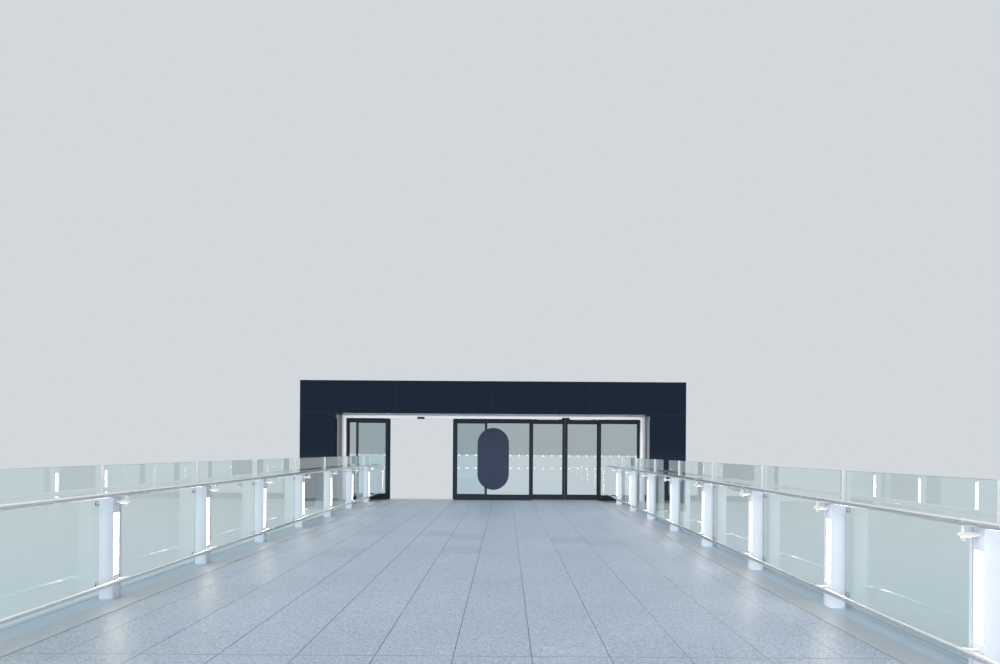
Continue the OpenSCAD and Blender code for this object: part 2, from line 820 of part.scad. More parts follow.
sensor_w = 220;
sensor_h = 60;
sensor_t = 45;
sensor_drop = 10;
module door_sensors() {
  sensor_x = centre_half + doorway_w / 2;
  sensor_z = head_z + sensor_drop;
  color("black") translate([0, portal_y, 0]) both_sides()
    span([sensor_x - sensor_w / 2, frame_front - sensor_t, sensor_z - sensor_h / 2],
      [sensor_x + sensor_w / 2, frame_front, sensor_z + sensor_h / 2]);
}

// Door leaves, drawn closed on the right side. A leaf laps the fixed screen beside it.
leaf_lap = 40;
meeting_gap = 8;
leaf_stile = 65;
leaf_foot = 155;
leaf_head = 120;
leaf_low = deck_h + leaf_lift;
leaf_high = head_z - leaf_head_clear;
meeting_x = centre_half + doorway_w / 2;
outer_leaf_x = [meeting_x + meeting_gap / 2, bay_outer + leaf_lap];
inner_leaf_x = [centre_half - leaf_lap, meeting_x - meeting_gap / 2];
hanger_w = 90;
hanger_inset = 140;

// A hanger: a plate on the leaf's head, an axle and a roller on the rear lip of the track
module hanger(x) {
  roller_z = lip_z + lip_t + seat + roller_d / 2;
  span([x - hanger_w / 2, leaf_mid - hanger_t / 2, leaf_high - leaf_head / 2],
    [x + hanger_w / 2, leaf_mid + hanger_t / 2, roller_z + roller_d / 2]);
  translate([x, leaf_mid, roller_z]) rotate([-90, 0, 0])
    cylinder(d = roller_d / 3, h = hanger_t / 2 + roller_gap + roller_w / 2);
  translate([x, leaf_mid + hanger_t / 2 + roller_gap, roller_z]) rotate([-90, 0, 0])
    cylinder(d = roller_d, h = roller_w);
}

module leaf(range, shift) {
  color("darkslategray") translate([shift, portal_y, 0]) {
    framed(range[0], range[1], leaf_low, leaf_high, leaf_front, leaf_back,
      leaf_stile, leaf_foot, leaf_head);
    hanger(range[0] + hanger_inset);
    hanger(range[1] - hanger_inset);
  }
}

module leaf_pane(range, shift) {
  color("lightcyan", 0.4) translate([shift, portal_y, 0])
    pane(range[0], range[1], leaf_low, leaf_high, leaf_mid, leaf_stile, leaf_foot, leaf_head);
}

// The left pair stands open and the right pair is closed
module left_outer_leaf() { mirror([1, 0, 0]) leaf(outer_leaf_x, leaf_travel); }
module left_outer_pane() { mirror([1, 0, 0]) leaf_pane(outer_leaf_x, leaf_travel); }
module left_inner_leaf() { mirror([1, 0, 0]) leaf(inner_leaf_x, -leaf_travel); }
module left_inner_pane() { mirror([1, 0, 0]) leaf_pane(inner_leaf_x, -leaf_travel); }
module right_outer_leaf() { leaf(outer_leaf_x, 0); }
module right_outer_pane() { leaf_pane(outer_leaf_x, 0); }
module right_inner_leaf() { leaf(inner_leaf_x, 0); }
module right_inner_pane() { leaf_pane(inner_leaf_x, 0); }

deck_slab();
landing_slab();
granite_paving();
drain_covers();
kerb_strips();
edge_beams();
left_girder();
right_girder();
cross_beams();
soffit_panels();
outriggers();
landing_brackets();
bearing_shoes();
near_crosshead();
terminal_crosshead();
near_columns();
terminal_columns();
left_posts();
right_posts();
post_lights();
stanchions();
left_glass();
right_glass();
glass_clamps();
handrails();
low_rails();
rail_brackets();
portal_frame();
fascia_box();
fascia_panels();
left_cheek();
right_cheek();
cheek_panels();
side_screens();
centre_screen();
screen_glass();
door_track();
threshold();
door_sensors();
left_outer_leaf();
left_outer_pane();
left_inner_leaf();
left_inner_pane();
right_outer_leaf();
right_outer_pane();
right_inner_leaf();
right_inner_pane();
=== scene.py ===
import math
import random
from contextlib import contextmanager

import bpy
from bpy.props import FloatProperty, FloatVectorProperty, IntProperty, PointerProperty
from mathutils import Matrix, Vector


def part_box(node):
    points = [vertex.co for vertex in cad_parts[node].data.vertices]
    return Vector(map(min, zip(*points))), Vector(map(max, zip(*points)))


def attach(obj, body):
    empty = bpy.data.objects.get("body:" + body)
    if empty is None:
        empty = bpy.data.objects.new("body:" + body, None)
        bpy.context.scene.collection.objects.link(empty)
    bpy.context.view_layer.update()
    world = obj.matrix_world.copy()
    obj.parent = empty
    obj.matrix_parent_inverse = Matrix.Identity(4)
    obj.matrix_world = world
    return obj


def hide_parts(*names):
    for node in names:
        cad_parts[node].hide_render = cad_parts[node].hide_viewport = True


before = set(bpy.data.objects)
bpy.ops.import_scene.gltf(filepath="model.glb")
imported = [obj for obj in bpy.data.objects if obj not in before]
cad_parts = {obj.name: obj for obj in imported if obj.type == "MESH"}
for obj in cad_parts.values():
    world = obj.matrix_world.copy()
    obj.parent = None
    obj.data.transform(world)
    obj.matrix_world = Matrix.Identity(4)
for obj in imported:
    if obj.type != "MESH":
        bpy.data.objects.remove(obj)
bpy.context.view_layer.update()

bl_info = {
    "name": "Link Bridge Finishes",
    "version": (1, 0, 0),
    "blender": (4, 5, 0),
    "location": "View3D > Sidebar > Link Bridge",
    "description": "Paves, fits out and lights a pedestrian link bridge with an entrance portal",
    "category": "Object",
}

BRIDGE = "bridge"
DOORS = ("left_outer", "left_inner", "right_outer", "right_inner")
SIDES = (-1, 1)  # left and right of the centreline
MM = 0.001
BITE = 1 * MM  # how far a piece reaches into what carries it


def linear(code):
    """The linear colour of an sRGB hex code."""
    shares = [int(code[i : i + 2], 16) / 255 for i in (0, 2, 4)]
    return tuple(s / 12.92 if s <= 0.04045 else ((s + 0.055) / 1.055) ** 2.4 for s in shares)


def length(name, words, default):
    """A size in metres, shown with its unit."""
    return FloatProperty(name=name, description=words, default=default, unit="LENGTH", subtype="DISTANCE")


def tint(name, words, code):
    """A colour, given as the sRGB hex code of the real finish."""
    return FloatVectorProperty(name=name, description=words, subtype="COLOR", size=3, min=0, max=1,
                               default=linear(code))


class LinkBridgeSizes(bpy.types.PropertyGroup):
    """Sizes of what is laid, fixed or stuck on the bridge's structure"""

    slab_width: length("Slab width", "Width of a granite slab across the walkway", 0.575)
    slab_length: length("Slab length", "Length of a granite slab along the walkway", 0.77)
    slab_gap: length("Slab joint", "Width of the mortar joint between slabs", 0.005)
    slab_arris: length("Slab arris", "Chamfer along a slab's upper edges", 0.002)
    post_depth: length("Post depth", "Depth of a balustrade post along the walkway", 0.15)
    bay_pitch: length("Bay pitch", "Spacing of the balustrade posts", 2.065)
    post_radius: length("Post corner", "Rounding of the posts' folded corners", 0.004)
    strip_width: length("Post strip", "Width of the strip past the groove in a post's face", 0.03)
    groove_width: length("Groove width", "Width of the shadow groove in a post's face", 0.01)
    groove_depth: length("Groove depth", "Depth of the shadow groove in a post's face", 0.008)
    sleeve_length: length("Sleeve length", "Length of the sleeve on a rail at each post", 0.08)
    clamp_radius: length("Clamp radius", "Radius of the discs that hold the glass", 0.027)
    side_screen_width: length("Side screen width", "Width of a fixed screen beside a doorway", 1.25)
    stile_width: length("Stile width", "Width of the fixed screens' stiles", 0.075)
    expansion_place: length("Expansion joint", "Distance of the expansion joint from the near end", 0.93)
    expansion_width: length("Expansion strip", "Width of the expansion joint's metal strip", 0.016)
    dot_width: length("Dot width", "Diameter of a dot stuck on the door glass", 0.05)
    dot_pitch: length("Dot pitch", "Spacing of the dots on the door glass", 0.26)
    dot_low: length("Lower dots", "Height of the lower row of dots above the deck", 0.965)
    dot_high: length("Upper dots", "Height of the upper row of dots above the deck", 1.35)
    capsule_width: length("Capsule width", "Width of the dark film on the centre screen", 0.95)
    capsule_low: length("Capsule foot", "Height of the film's lower end above the deck", 0.31)
    capsule_high: length("Capsule head", "Height of the film's upper end above the deck", 2.18)
    bolt_width: length("Bolt width", "Width across the flats of the structural bolts", 0.036)
    camera_height: length("Camera height", "Height of the camera above the deck", 1.51)
    camera_back: length("Camera distance", "Distance from the camera to the screens", 20.115)
    camera_side: length("Camera offset", "Distance of the camera to the right of the centreline", 0.373)
    seed: IntProperty(name="Seed", description="Seed of the slabs' tones", default=7)


class LinkBridgeColours(bpy.types.PropertyGroup):
    """Colours of the bridge's finishes and of the studio"""

    granite: tint("Granite", "Feldspar that gives the slabs their colour", "ACBAC9")
    mortar: tint("Mortar", "Joints between the slabs", "6F747C")
    # Painted shade: the posts' white is greyer and bluer than the frame's white below. It stands for blue sky
    # light and shade on the same coat
    white_coat: tint("White coat", "Balustrade posts", "D3D9E4")
    frame_coat: tint("Frame coat", "White frame round the doors", "F6F8FB")
    steel_paint: tint("Steel paint", "Girders, brackets and soffit", "D4D6D8")
    anthracite: tint("Anthracite coat", "Door frames, screens and track", "17202D")
    backing: tint("Backing sheet", "Sheets behind the dark glass", "2A2F38")
    dark_glass: tint("Dark glass", "Fascia and cheeks", "0A101C")
    glass_mirror: tint("Dark glass mirror", "Light that the dark glass reflects", "BCE2FF")
    door_glass: tint("Door glass", "Double glazing of the doors and screens", "E9F4F6")
    clear_glass: tint("Balustrade glass", "Laminated glass of the balustrade", "E9F5F3")
    glass_edge: tint("Glass edge", "Edges of the balustrade glass", "3E8C84")
    stainless: tint("Stainless steel", "Rails, brackets and clamps", "EEEFF0")
    zinc: tint("Zinc", "Bolts and bearings", "8B9096")
    drain: tint("Drain cover", "Slotted cover beside the granite", "BDC3CB")
    # Painted reflection: the kerb's pale blue-grey stands for the sky mirrored in its satin coat at a grazing
    # angle
    kerb: tint("Kerb strip", "Metal strip under the posts", "B2C4D2")
    concrete: tint("Concrete", "Deck slab and landing", "8E8D89")
    lamp: tint("Post light", "Light of the post panels", "FFEFD2")
    rubber: tint("Rubber", "Gaskets and seals", "1B1D20")
    pad: tint("Clamp pad", "Pads between the clamps and the glass", "C2C8CE")
    moulding: tint("Moulding", "Covers of the motion sensors", "101114")
    dots: tint("Dots", "Dots on the door glass", "F4F6F8")
    capsule: tint("Capsule film", "Dark film on the centre screen", "2A3448")
    floor: tint("Studio floor", "Floor and backdrop of the studio", "D3D8DD")
    sky: tint("Studio light", "Soft light from all round", "EFF7FF")


def sizes():
    """The sizes, as the user left them."""
    return bpy.context.scene.link_bridge_sizes


def colour(name):
    """One of the colours, linear."""
    return tuple(getattr(bpy.context.scene.link_bridge_colours, name))


def opaque(name):
    """One of the colours, as a shader's colour socket takes it."""
    return (*colour(name), 1)


# Making pieces


def pick(*things):
    """Selects only these objects and makes the first one active."""
    bpy.ops.object.select_all(action="DESELECT")
    for thing in things:
        thing.select_set(True)
    bpy.context.view_layer.objects.active = things[0]


@contextmanager
def editing(piece, mode="VERT"):
    """Edit mode on one piece, with all of it selected."""
    pick(piece)
    bpy.ops.object.mode_set(mode="EDIT")
    bpy.ops.mesh.select_mode(type=mode)
    bpy.ops.mesh.select_all(action="SELECT")
    yield
    bpy.ops.object.mode_set(mode="OBJECT")


def primitive(name, add, scale=(1, 1, 1), **settings):
    """Adds a primitive with its place, turn and scale in its mesh."""
    bpy.ops.object.select_all(action="DESELECT")
    add(**settings)
    piece = bpy.context.object
    piece.name = name
    piece.scale = scale
    bpy.ops.object.transform_apply(location=True, rotation=True, scale=True)
    return piece


def between(start, end):
    """Length, place and turn of a round primitive that reaches from one point to another."""
    start, end = Vector(start), Vector(end)
    along = end - start
    return {"depth": along.length, "location": (start + end) / 2,
            "rotation": along.to_track_quat("Z", "Y").to_euler()}


def smooth(piece, angle=35):
    """Shades the piece smooth, apart from edges sharper than the angle in degrees."""
    pick(piece)
    bpy.ops.object.shade_smooth_by_angle(angle=math.radians(angle))
    return piece


def block(name, low, high, bevel=0.0, segments=2):
    """A box between two corners, with all its edges rounded."""
    low, high = Vector(low), Vector(high)
    piece = primitive(name, bpy.ops.mesh.primitive_cube_add, high - low, size=1.0, location=(low + high) / 2)
    if bevel:
        with editing(piece):
            bpy.ops.mesh.bevel(offset=bevel, segments=segments, affect="EDGES")
    return piece


def rod(name, start, end, radius, sides=24, bevel=0.0):
    """A round bar from one point to another, with its end edges rounded."""
    piece = primitive(name, bpy.ops.mesh.primitive_cylinder_add, vertices=sides, radius=radius,
                      **between(start, end))
    if bevel:
        with editing(piece, "EDGE"):
            bpy.ops.mesh.select_all(action="DESELECT")
            bpy.ops.mesh.edges_select_sharp(sharpness=math.radians(60))
            bpy.ops.mesh.bevel(offset=bevel, segments=3, affect="EDGES")
    return smooth(piece)


def cone(name, start, end, start_radius, end_radius, sides=24):
    """A tapered round bar from one point to another."""
    return smooth(primitive(name, bpy.ops.mesh.primitive_cone_add, vertices=sides, radius1=start_radius,
                            radius2=end_radius, **between(start, end)))


def ball(name, place, radius):
    """A smooth ball."""
    return smooth(primitive(name, bpy.ops.mesh.primitive_uv_sphere_add, segments=24, ring_count=12,
                            radius=radius, location=place))


def bead(name, place, radius, thickness):
    """A weld bead: a thin ring round an upright tube."""
    return smooth(primitive(name, bpy.ops.mesh.primitive_torus_add, location=place, major_radius=radius,
                            minor_radius=thickness, major_segments=48, minor_segments=8))


def ring(name, low, high, width, depth):
    """A flat frame in X and Z that faces -Y at low.y, with its outer edge between low and high."""
    low, high = Vector(low), Vector(high)
    middle = ((low.x + high.x) / 2, low.y, (low.z + high.z) / 2)
    piece = primitive(name, bpy.ops.mesh.primitive_plane_add, (high.x - low.x, high.z - low.z, 1),
                      size=1.0, location=middle, rotation=(math.pi / 2, 0, 0))
    with editing(piece, "FACE"):
        bpy.ops.mesh.inset(thickness=width, depth=0)
        bpy.ops.mesh.delete(type="FACE")
        bpy.ops.mesh.select_all(action="SELECT")
        bpy.ops.mesh.extrude_region_move(TRANSFORM_OT_translate={"value": (0, depth, 0)})
        bpy.ops.mesh.select_all(action="SELECT")
        bpy.ops.mesh.normals_make_consistent(inside=False)
    return piece


def cut(piece, cutter):
    """Takes the cutter's shape out of the piece."""
    pick(piece)
    tool = piece.modifiers.new("cut", "BOOLEAN")
    tool.operation = "DIFFERENCE"
    tool.solver = "EXACT"
    tool.object = cutter
    bpy.ops.object.modifier_apply(modifier=tool.name)
    bpy.data.objects.remove(cutter)


def move_points(piece, test, shift):
    """Moves the points that pass the test."""
    with editing(piece):
        bpy.ops.mesh.select_all(action="DESELECT")
    for point in piece.data.vertices:
        point.select = test(point.co)
    bpy.ops.object.mode_set(mode="EDIT")
    bpy.ops.transform.translate(value=shift)
    bpy.ops.object.mode_set(mode="OBJECT")


def join(name, parts):
    """One piece from several parts."""
    pick(*parts)
    if len(parts) > 1:
        bpy.ops.object.join()
    piece = bpy.context.object
    piece.name = name
    piece.data.name = name
    return piece


def twin_of(piece):
    """A copy of the piece with a mesh of its own."""
    twin = piece.copy()
    twin.data = piece.data.copy()
    bpy.context.scene.collection.objects.link(twin)
    return twin


def moved(piece, shift, turn=0.0):
    """Turns the piece about the upright axis and then moves it."""
    piece.data.transform(Matrix.Translation(Vector(shift)) @ Matrix.Rotation(turn, 4, "Z"))
    return piece


def copies(piece, places):
    """A moved copy of the piece for each place. The piece itself goes."""
    made = [moved(twin_of(piece), place) for place in places]
    bpy.data.objects.remove(piece)
    return made


def mirrored(piece):
    """Mirrors the piece itself across the centreline."""
    piece.data.transform(Matrix.Scale(-1, 4, (1, 0, 0)))
    piece.data.flip_normals()
    return piece


def both_sides(piece):
    """The piece and its mirror image across the centreline."""
    return [piece, mirrored(twin_of(piece))]


def bolt(place, width, head, direction):
    """A hexagon bolt head on a washer, its seat at place, pointing along direction."""
    place, direction = Vector(place), Vector(direction)
    washer_t, washer_r = head * 0.2, width * 0.62
    head_r, chamfer = width * 0.55, head * 0.12
    washer = rod("washer", place, place + direction * washer_t, washer_r, sides=16)
    seat = place + direction * washer_t * 0.9
    return join("bolt", [rod("bolt", seat, seat + direction * head, head_r, sides=6, bevel=chamfer), washer])


def post_places(side):
    """Places along the bridge of the posts on one side."""
    low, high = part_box("left_posts" if side < 0 else "right_posts")
    half = sizes().post_depth / 2
    first, last = low.y + half, high.y - half
    bays = round((last - first) / sizes().bay_pitch)
    return [first + (last - first) * i / bays for i in range(bays + 1)]


def light_strip():
    """Start and width, along the walkway, of the light in a post that stands at y = 0."""
    low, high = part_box("post_lights")
    start = low.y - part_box("right_posts")[0].y - sizes().post_depth / 2
    run = post_places(-1)[-1] - post_places(1)[0]  # from the first post's light to the last one's
    return start, high.y - low.y - run


def light_middle():
    """The middle of a post's light, which the handrail's brackets stand over."""
    start, width = light_strip()
    return start + width / 2


def along_posts(name, piece):
    """The piece, modelled at y = 0 on the right, at every post on both sides."""
    right, left = both_sides(piece)
    made = copies(right, [(0, y, 0) for y in post_places(1)])
    made += copies(left, [(0, y, 0) for y in post_places(-1)])
    return join(name, made)


def set_out(piece, material, body=BRIDGE, stands_for=()):
    """Gives a finished piece its finish, its body and the CAD nodes that it stands for."""
    piece.data.materials.clear()
    piece.data.materials.append(finish(material))
    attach(piece, body)
    if stands_for:
        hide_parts(*stands_for)


# Finishes


def add_node(tree, kind, inputs=None, stops=(), **settings):
    """Adds a node with its settings, its ramp's stops and its inputs, each a value, a socket or a node.
    A node stands for its first output."""
    made = tree.nodes.new(kind)
    for name, value in settings.items():
        setattr(made, name, value)
    for name, value in (inputs or {}).items():
        if isinstance(value, bpy.types.Node):
            value = value.outputs[0]
        if isinstance(value, bpy.types.NodeSocket):
            tree.links.new(value, made.inputs[name])
        else:
            made.inputs[name].default_value = value
    if stops:
        band = made.color_ramp.elements
        while len(band) < len(stops):
            band.new(1.0)
        for stop, (place, tone) in zip(band, stops):
            stop.position = place
            stop.color = (*tone, 1)
    return made


def shade(tone, share):
    """A colour made darker, or lighter past 1."""
    return tuple(min(1.0, c * share) for c in tone)


def per(size):
    """The scale of a pattern whose marks have this size in millimetres."""
    return 1 / (size * MM)


NOISE_SPAN = {"From Min": 0.3, "From Max": 0.7}  # nearly all of a noise lies in it


# Each of these functions takes a material's tree and the place on its piece, and gives the inputs of its
# Principled shader. Sizes of marks are in millimetres


def flamed_granite(tree, place):
    """Flamed granite: a rough, sparkling face of pale feldspar, clear quartz and dark mica."""
    base = colour("granite")
    grain = 9  # real grains are 4 mm, drawn coarser so that they show from standing height
    bunch, patch = 38.46, 1428.6
    cells = add_node(tree, "ShaderNodeTexVoronoi", {"Vector": place, "Scale": per(grain)})
    kinds = add_node(tree, "ShaderNodeSeparateColor", {"Color": cells.outputs["Color"]})
    minerals = add_node(tree, "ShaderNodeValToRGB", {"Fac": kinds}, stops=[
        (0.0, shade(base, 0.5)), (0.12, shade(base, 0.62)), (0.19, shade(base, 0.92)),
        (0.62, base), (0.8, shade(base, 1.08)), (1.0, shade(base, 1.26))])
    clump = add_node(tree, "ShaderNodeTexNoise", {"Vector": place, "Scale": per(bunch), "Detail": 5.0,
                                                  "Roughness": 0.65})
    clumps = add_node(tree, "ShaderNodeMapRange", {**NOISE_SPAN, "Value": clump, "To Min": 0.86,
                                                   "To Max": 1.12})
    wear = add_node(tree, "ShaderNodeTexNoise", {"Vector": place, "Scale": per(patch), "Detail": 3.0})
    worn = add_node(tree, "ShaderNodeMapRange", {**NOISE_SPAN, "Value": wear, "To Min": 0.95,
                                                 "To Max": 1.04})
    slab = add_node(tree, "ShaderNodeAttribute", attribute_name="slab_tone").outputs["Fac"]
    share = add_node(tree, "ShaderNodeMath", {0: clumps, 1: slab}, operation="MULTIPLY")
    whole = add_node(tree, "ShaderNodeMath", {0: share, 1: worn}, operation="MULTIPLY")
    tones = add_node(tree, "ShaderNodeVectorMath", {0: minerals, 1: whole}, operation="MULTIPLY")
    polish = add_node(tree, "ShaderNodeMapRange", {
        "Value": kinds.outputs["Green"], "To Min": 0.36, "To Max": 0.56})
    rise = add_node(tree, "ShaderNodeBump", {"Height": kinds.outputs["Blue"], "Strength": 0.25,
                                             "Distance": 0.6 * MM})
    return {"Base Color": tones, "Roughness": polish, "Normal": rise, "IOR": 1.54}


def mortar(tree, place):
    """Cement mortar: sandy and matt, of darker and paler grains."""
    base = colour("mortar")
    grain = 3.3333  # real sand is 1 mm, drawn coarser so that it shows
    sand = add_node(tree, "ShaderNodeTexNoise", {"Vector": place, "Scale": per(grain), "Detail": 4.0})
    tones = add_node(tree, "ShaderNodeValToRGB", {"Fac": sand}, stops=[
        (0.3, shade(base, 0.8)), (0.7, shade(base, 1.15))])
    return {"Base Color": tones, "Roughness": 0.9}


def steel_paint(tree, place):
    """Micaceous paint on structural steel: off-white and dull, with faint rain streaks and dust."""
    base = colour("steel_paint")
    streak, patch = (90.909, 90.909, 568.18), 1111.1
    flake = 6  # real flakes are under 0.1 mm, drawn coarser so that they show
    drawn = add_node(tree, "ShaderNodeMapping", {"Vector": place, "Scale": [per(size) for size in streak]})
    streaks = add_node(tree, "ShaderNodeTexNoise", {"Vector": drawn, "Scale": 1.0, "Detail": 8.0,
                                                    "Roughness": 0.7})
    patches = add_node(tree, "ShaderNodeTexNoise", {"Vector": place, "Scale": per(patch), "Detail": 5.0})
    both = add_node(tree, "ShaderNodeMath", {0: streaks, 1: patches}, operation="MULTIPLY")
    tones = add_node(tree, "ShaderNodeValToRGB", {"Fac": both}, stops=[
        (0.12, shade(base, 0.72)), (0.22, shade(base, 0.93)), (0.4, base)])
    flakes = add_node(tree, "ShaderNodeTexNoise", {"Vector": place, "Scale": per(flake), "Detail": 2.0})
    rise = add_node(tree, "ShaderNodeBump", {"Height": flakes, "Strength": 0.2, "Distance": 0.3 * MM})
    return {"Base Color": tones, "Normal": rise, "Roughness": 0.48}


def cast_concrete(tree, place):
    """Fair-faced concrete: pores and a mottled cement skin."""
    base = colour("concrete")
    patch, pore = 555.56, 22
    cloud = add_node(tree, "ShaderNodeTexNoise", {"Vector": place, "Scale": per(patch), "Detail": 8.0,
                                                  "Roughness": 0.66})
    tones = add_node(tree, "ShaderNodeValToRGB", {"Fac": cloud}, stops=[
        (0.28, shade(base, 0.78)), (0.5, base), (0.75, shade(base, 1.18))])
    pores = add_node(tree, "ShaderNodeTexVoronoi", {"Vector": place, "Scale": per(pore)})
    holes = add_node(tree, "ShaderNodeMapRange", {"Value": pores, "From Min": 0.06, "From Max": 0.16})
    rise = add_node(tree, "ShaderNodeBump", {"Height": holes, "Strength": 0.5, "Distance": 1.5 * MM})
    return {"Base Color": tones, "Normal": rise, "Roughness": 0.8}


def zinc_plate(tree, place):
    """Hot-dip zinc on bolts and bearings: dull grey with a faint spangle."""
    base = colour("zinc")
    spangle = 12
    cells = add_node(tree, "ShaderNodeTexVoronoi", {"Vector": place, "Scale": per(spangle)})
    split = add_node(tree, "ShaderNodeSeparateColor", {"Color": cells.outputs["Color"]})
    tones = add_node(tree, "ShaderNodeValToRGB", {"Fac": split}, stops=[
        (0.0, shade(base, 0.8)), (1.0, shade(base, 1.2))])
    return {"Base Color": tones, "Metallic": 0.85, "Roughness": 0.5}


def laminated_glass(tree, place):
    """Laminated float glass: nearly clear through its faces and deep green at its edges."""
    facing = add_node(tree, "ShaderNodeNewGeometry").outputs["True Normal"]
    across = add_node(tree, "ShaderNodeSeparateXYZ", {"Vector": facing})
    flat = add_node(tree, "ShaderNodeMath", {0: across}, operation="ABSOLUTE")
    green, clear = 6, 7  # the Mix node's two colours, for a Factor of 0 and of 1
    tones = add_node(tree, "ShaderNodeMix", {0: flat, green: opaque("glass_edge"),
                                             clear: opaque("clear_glass")}, data_type="RGBA")
    return {"Base Color": tones.outputs[2], "Transmission Weight": 1.0, "Roughness": 0.0, "IOR": 1.52}


def double_glazing(tree, place):
    """Double glazing of the doors and screens: clear, with faint smears."""
    smear = 333.33
    smears = add_node(tree, "ShaderNodeTexNoise", {"Vector": place, "Scale": per(smear), "Detail": 6.0})
    film = add_node(tree, "ShaderNodeMapRange", {
        "Value": smears, "From Min": 0.55, "From Max": 0.8, "To Max": 0.03})
    return {"Base Color": opaque("door_glass"), "Transmission Weight": 1.0, "Roughness": film, "IOR": 1.5}


def spandrel_glass(tree, place):
    """Back-painted glass: a dark, bluish mirror that waves a little, with a trace of dust."""
    base = colour("dark_glass")
    wave, patch = 769.23, 142.86
    waves = add_node(tree, "ShaderNodeTexNoise", {"Vector": place, "Scale": per(wave), "Detail": 1.0})
    rise = add_node(tree, "ShaderNodeBump", {"Height": waves, "Strength": 0.4, "Distance": 4 * MM})
    dust = add_node(tree, "ShaderNodeTexNoise", {"Vector": place, "Scale": per(patch), "Detail": 7.0})
    tones = add_node(tree, "ShaderNodeValToRGB", {"Fac": dust}, stops=[(0.4, base), (0.85, shade(base, 1.6))])
    return {"Base Color": tones, "Normal": rise, "Roughness": 0.04, "IOR": 1.52,
            "Specular Tint": opaque("glass_mirror")}


def opal_light(tree, place):
    """Opal acrylic over a lamp: an even warm glow, toned down for the eye so that its edges stay clean."""
    cast, seen = 18.0, 1.6
    ray = add_node(tree, "ShaderNodeLightPath").outputs["Is Camera Ray"]
    glow = add_node(tree, "ShaderNodeMapRange", {"Value": ray, "To Min": cast, "To Max": seen})
    return {"Base Color": opaque("lamp"), "Roughness": 0.35, "Emission Color": opaque("lamp"),
            "Emission Strength": glow}


def coated(tree, place, tone, roughness, peel, soil):
    """A coat, moulding or film: even, with orange peel, faint soiling and handling marks."""
    base = colour(tone)
    patch, mark, dimple = 625, 43.478, 4
    duller, shinier = 0.08, 0.05
    broad = add_node(tree, "ShaderNodeTexNoise", {"Vector": place, "Scale": per(patch), "Detail": 6.0,
                                                  "Roughness": 0.62})
    tones = add_node(tree, "ShaderNodeValToRGB", {"Fac": broad}, stops=[
        (0.3, shade(base, 1.0 - soil)), (0.52, base), (0.8, shade(base, 1.0 + soil * 0.3))])
    marks = add_node(tree, "ShaderNodeTexNoise", {"Vector": place, "Scale": per(mark), "Detail": 5.0})
    gloss = add_node(tree, "ShaderNodeMapRange", {
        **NOISE_SPAN, "Value": marks, "To Min": roughness - shinier, "To Max": roughness + duller})
    dimples = add_node(tree, "ShaderNodeTexNoise", {"Vector": place, "Scale": per(dimple), "Detail": 1.0})
    rise = add_node(tree, "ShaderNodeBump", {"Height": dimples, "Strength": peel, "Distance": 0.2 * MM})
    return {"Base Color": tones, "Roughness": gloss, "Normal": rise}


def brushed(tree, place, tone, roughness, metallic, scratch):
    """Brushed or blasted metal: fine marks of the scratch's size in x, y and z blur its reflections."""
    base = colour(tone)
    duller, shinier = 0.09, 0.07
    drawn = add_node(tree, "ShaderNodeMapping", {"Vector": place, "Scale": [per(size) for size in scratch]})
    marks = add_node(tree, "ShaderNodeTexNoise", {"Vector": drawn, "Scale": 1.0, "Detail": 3.0,
                                                  "Roughness": 0.7})
    tones = add_node(tree, "ShaderNodeValToRGB", {"Fac": marks}, stops=[
        (0.25, shade(base, 0.86)), (0.75, shade(base, 1.08))])
    gloss = add_node(tree, "ShaderNodeMapRange", {
        **NOISE_SPAN, "Value": marks, "To Min": roughness - shinier, "To Max": roughness + duller})
    rise = add_node(tree, "ShaderNodeBump", {"Height": marks, "Strength": 0.15, "Distance": 0.05 * MM})
    return {"Base Color": tones, "Roughness": gloss, "Normal": rise, "Metallic": metallic}


# Colour, roughness, depth of the orange peel and share of soiling
COATS = {
    # White polyester powder coat on the folded steel posts: satin, nearly clean. Its colour is painted shade:
    # a darker, bluer copy of the frame's white that stands for blue sky light on the posts
    "white_powder_coat": ("white_coat", 0.36, 0.25, 0.03),
    # White powder coat on the aluminium frame of the portal: bright, satin and clean
    "frame_coat": ("frame_coat", 0.4, 0.25, 0.02),
    # Blue-grey powder coat on aluminium door sections: dark and satin
    "anthracite_powder_coat": ("anthracite", 0.38, 0.3, 0.08),
    # Coated sheet behind the glass of the portal: dark and matt
    "backing_sheet": ("backing", 0.55, 0.2, 0.1),
    # Coat on the folded aluminium kerb: satin, and smooth where it is seen flat on. Its pale blue-grey is
    # painted reflection of the sky in the coat
    "kerb_sheet": ("kerb", 0.34, 0.03, 0.04),
    # Extruded rubber gasket: near black, matt, a little dusty
    "black_rubber": ("rubber", 0.7, 0.15, 0.15),
    # Clear PVC pads between the clamps and the glass: pale grey and matt
    "clear_pad": ("pad", 0.5, 0.1, 0.05),
    # Moulded ABS cover of the motion sensors: black and glossy
    "black_moulding": ("moulding", 0.2, 0.1, 0.05),
    # White vinyl dots on the door glass: clean and matt
    "dot_film": ("dots", 0.5, 0.05, 0.02),
    # Dark vinyl film on the centre screen: satin, left plain
    "capsule_film": ("capsule", 0.42, 0.08, 0.06),
}

# Colour, roughness, metallic share, and size of the scratches in millimetres. Real ones are about 0.1 mm
# wide, and these are drawn coarser so that they show
BRUSHED = {
    # Brushed stainless steel: cool and bright, with soft highlights along the rails
    "brushed_stainless": ("stainless", 0.17, 1.0, (2.381, 166.67, 2.381)),
    # Glass-blasted stainless steel of the brackets, clamps and blades: silvery white, evenly dull
    "blasted_stainless": ("stainless", 0.42, 0.55, (3.3333, 3.3333, 3.3333)),
    # Anodised aluminium of the drain cover: pale and dull, with long drawing marks
    "mill_aluminium": ("drain", 0.38, 0.35, (6.25, 333.33, 6.25)),
}

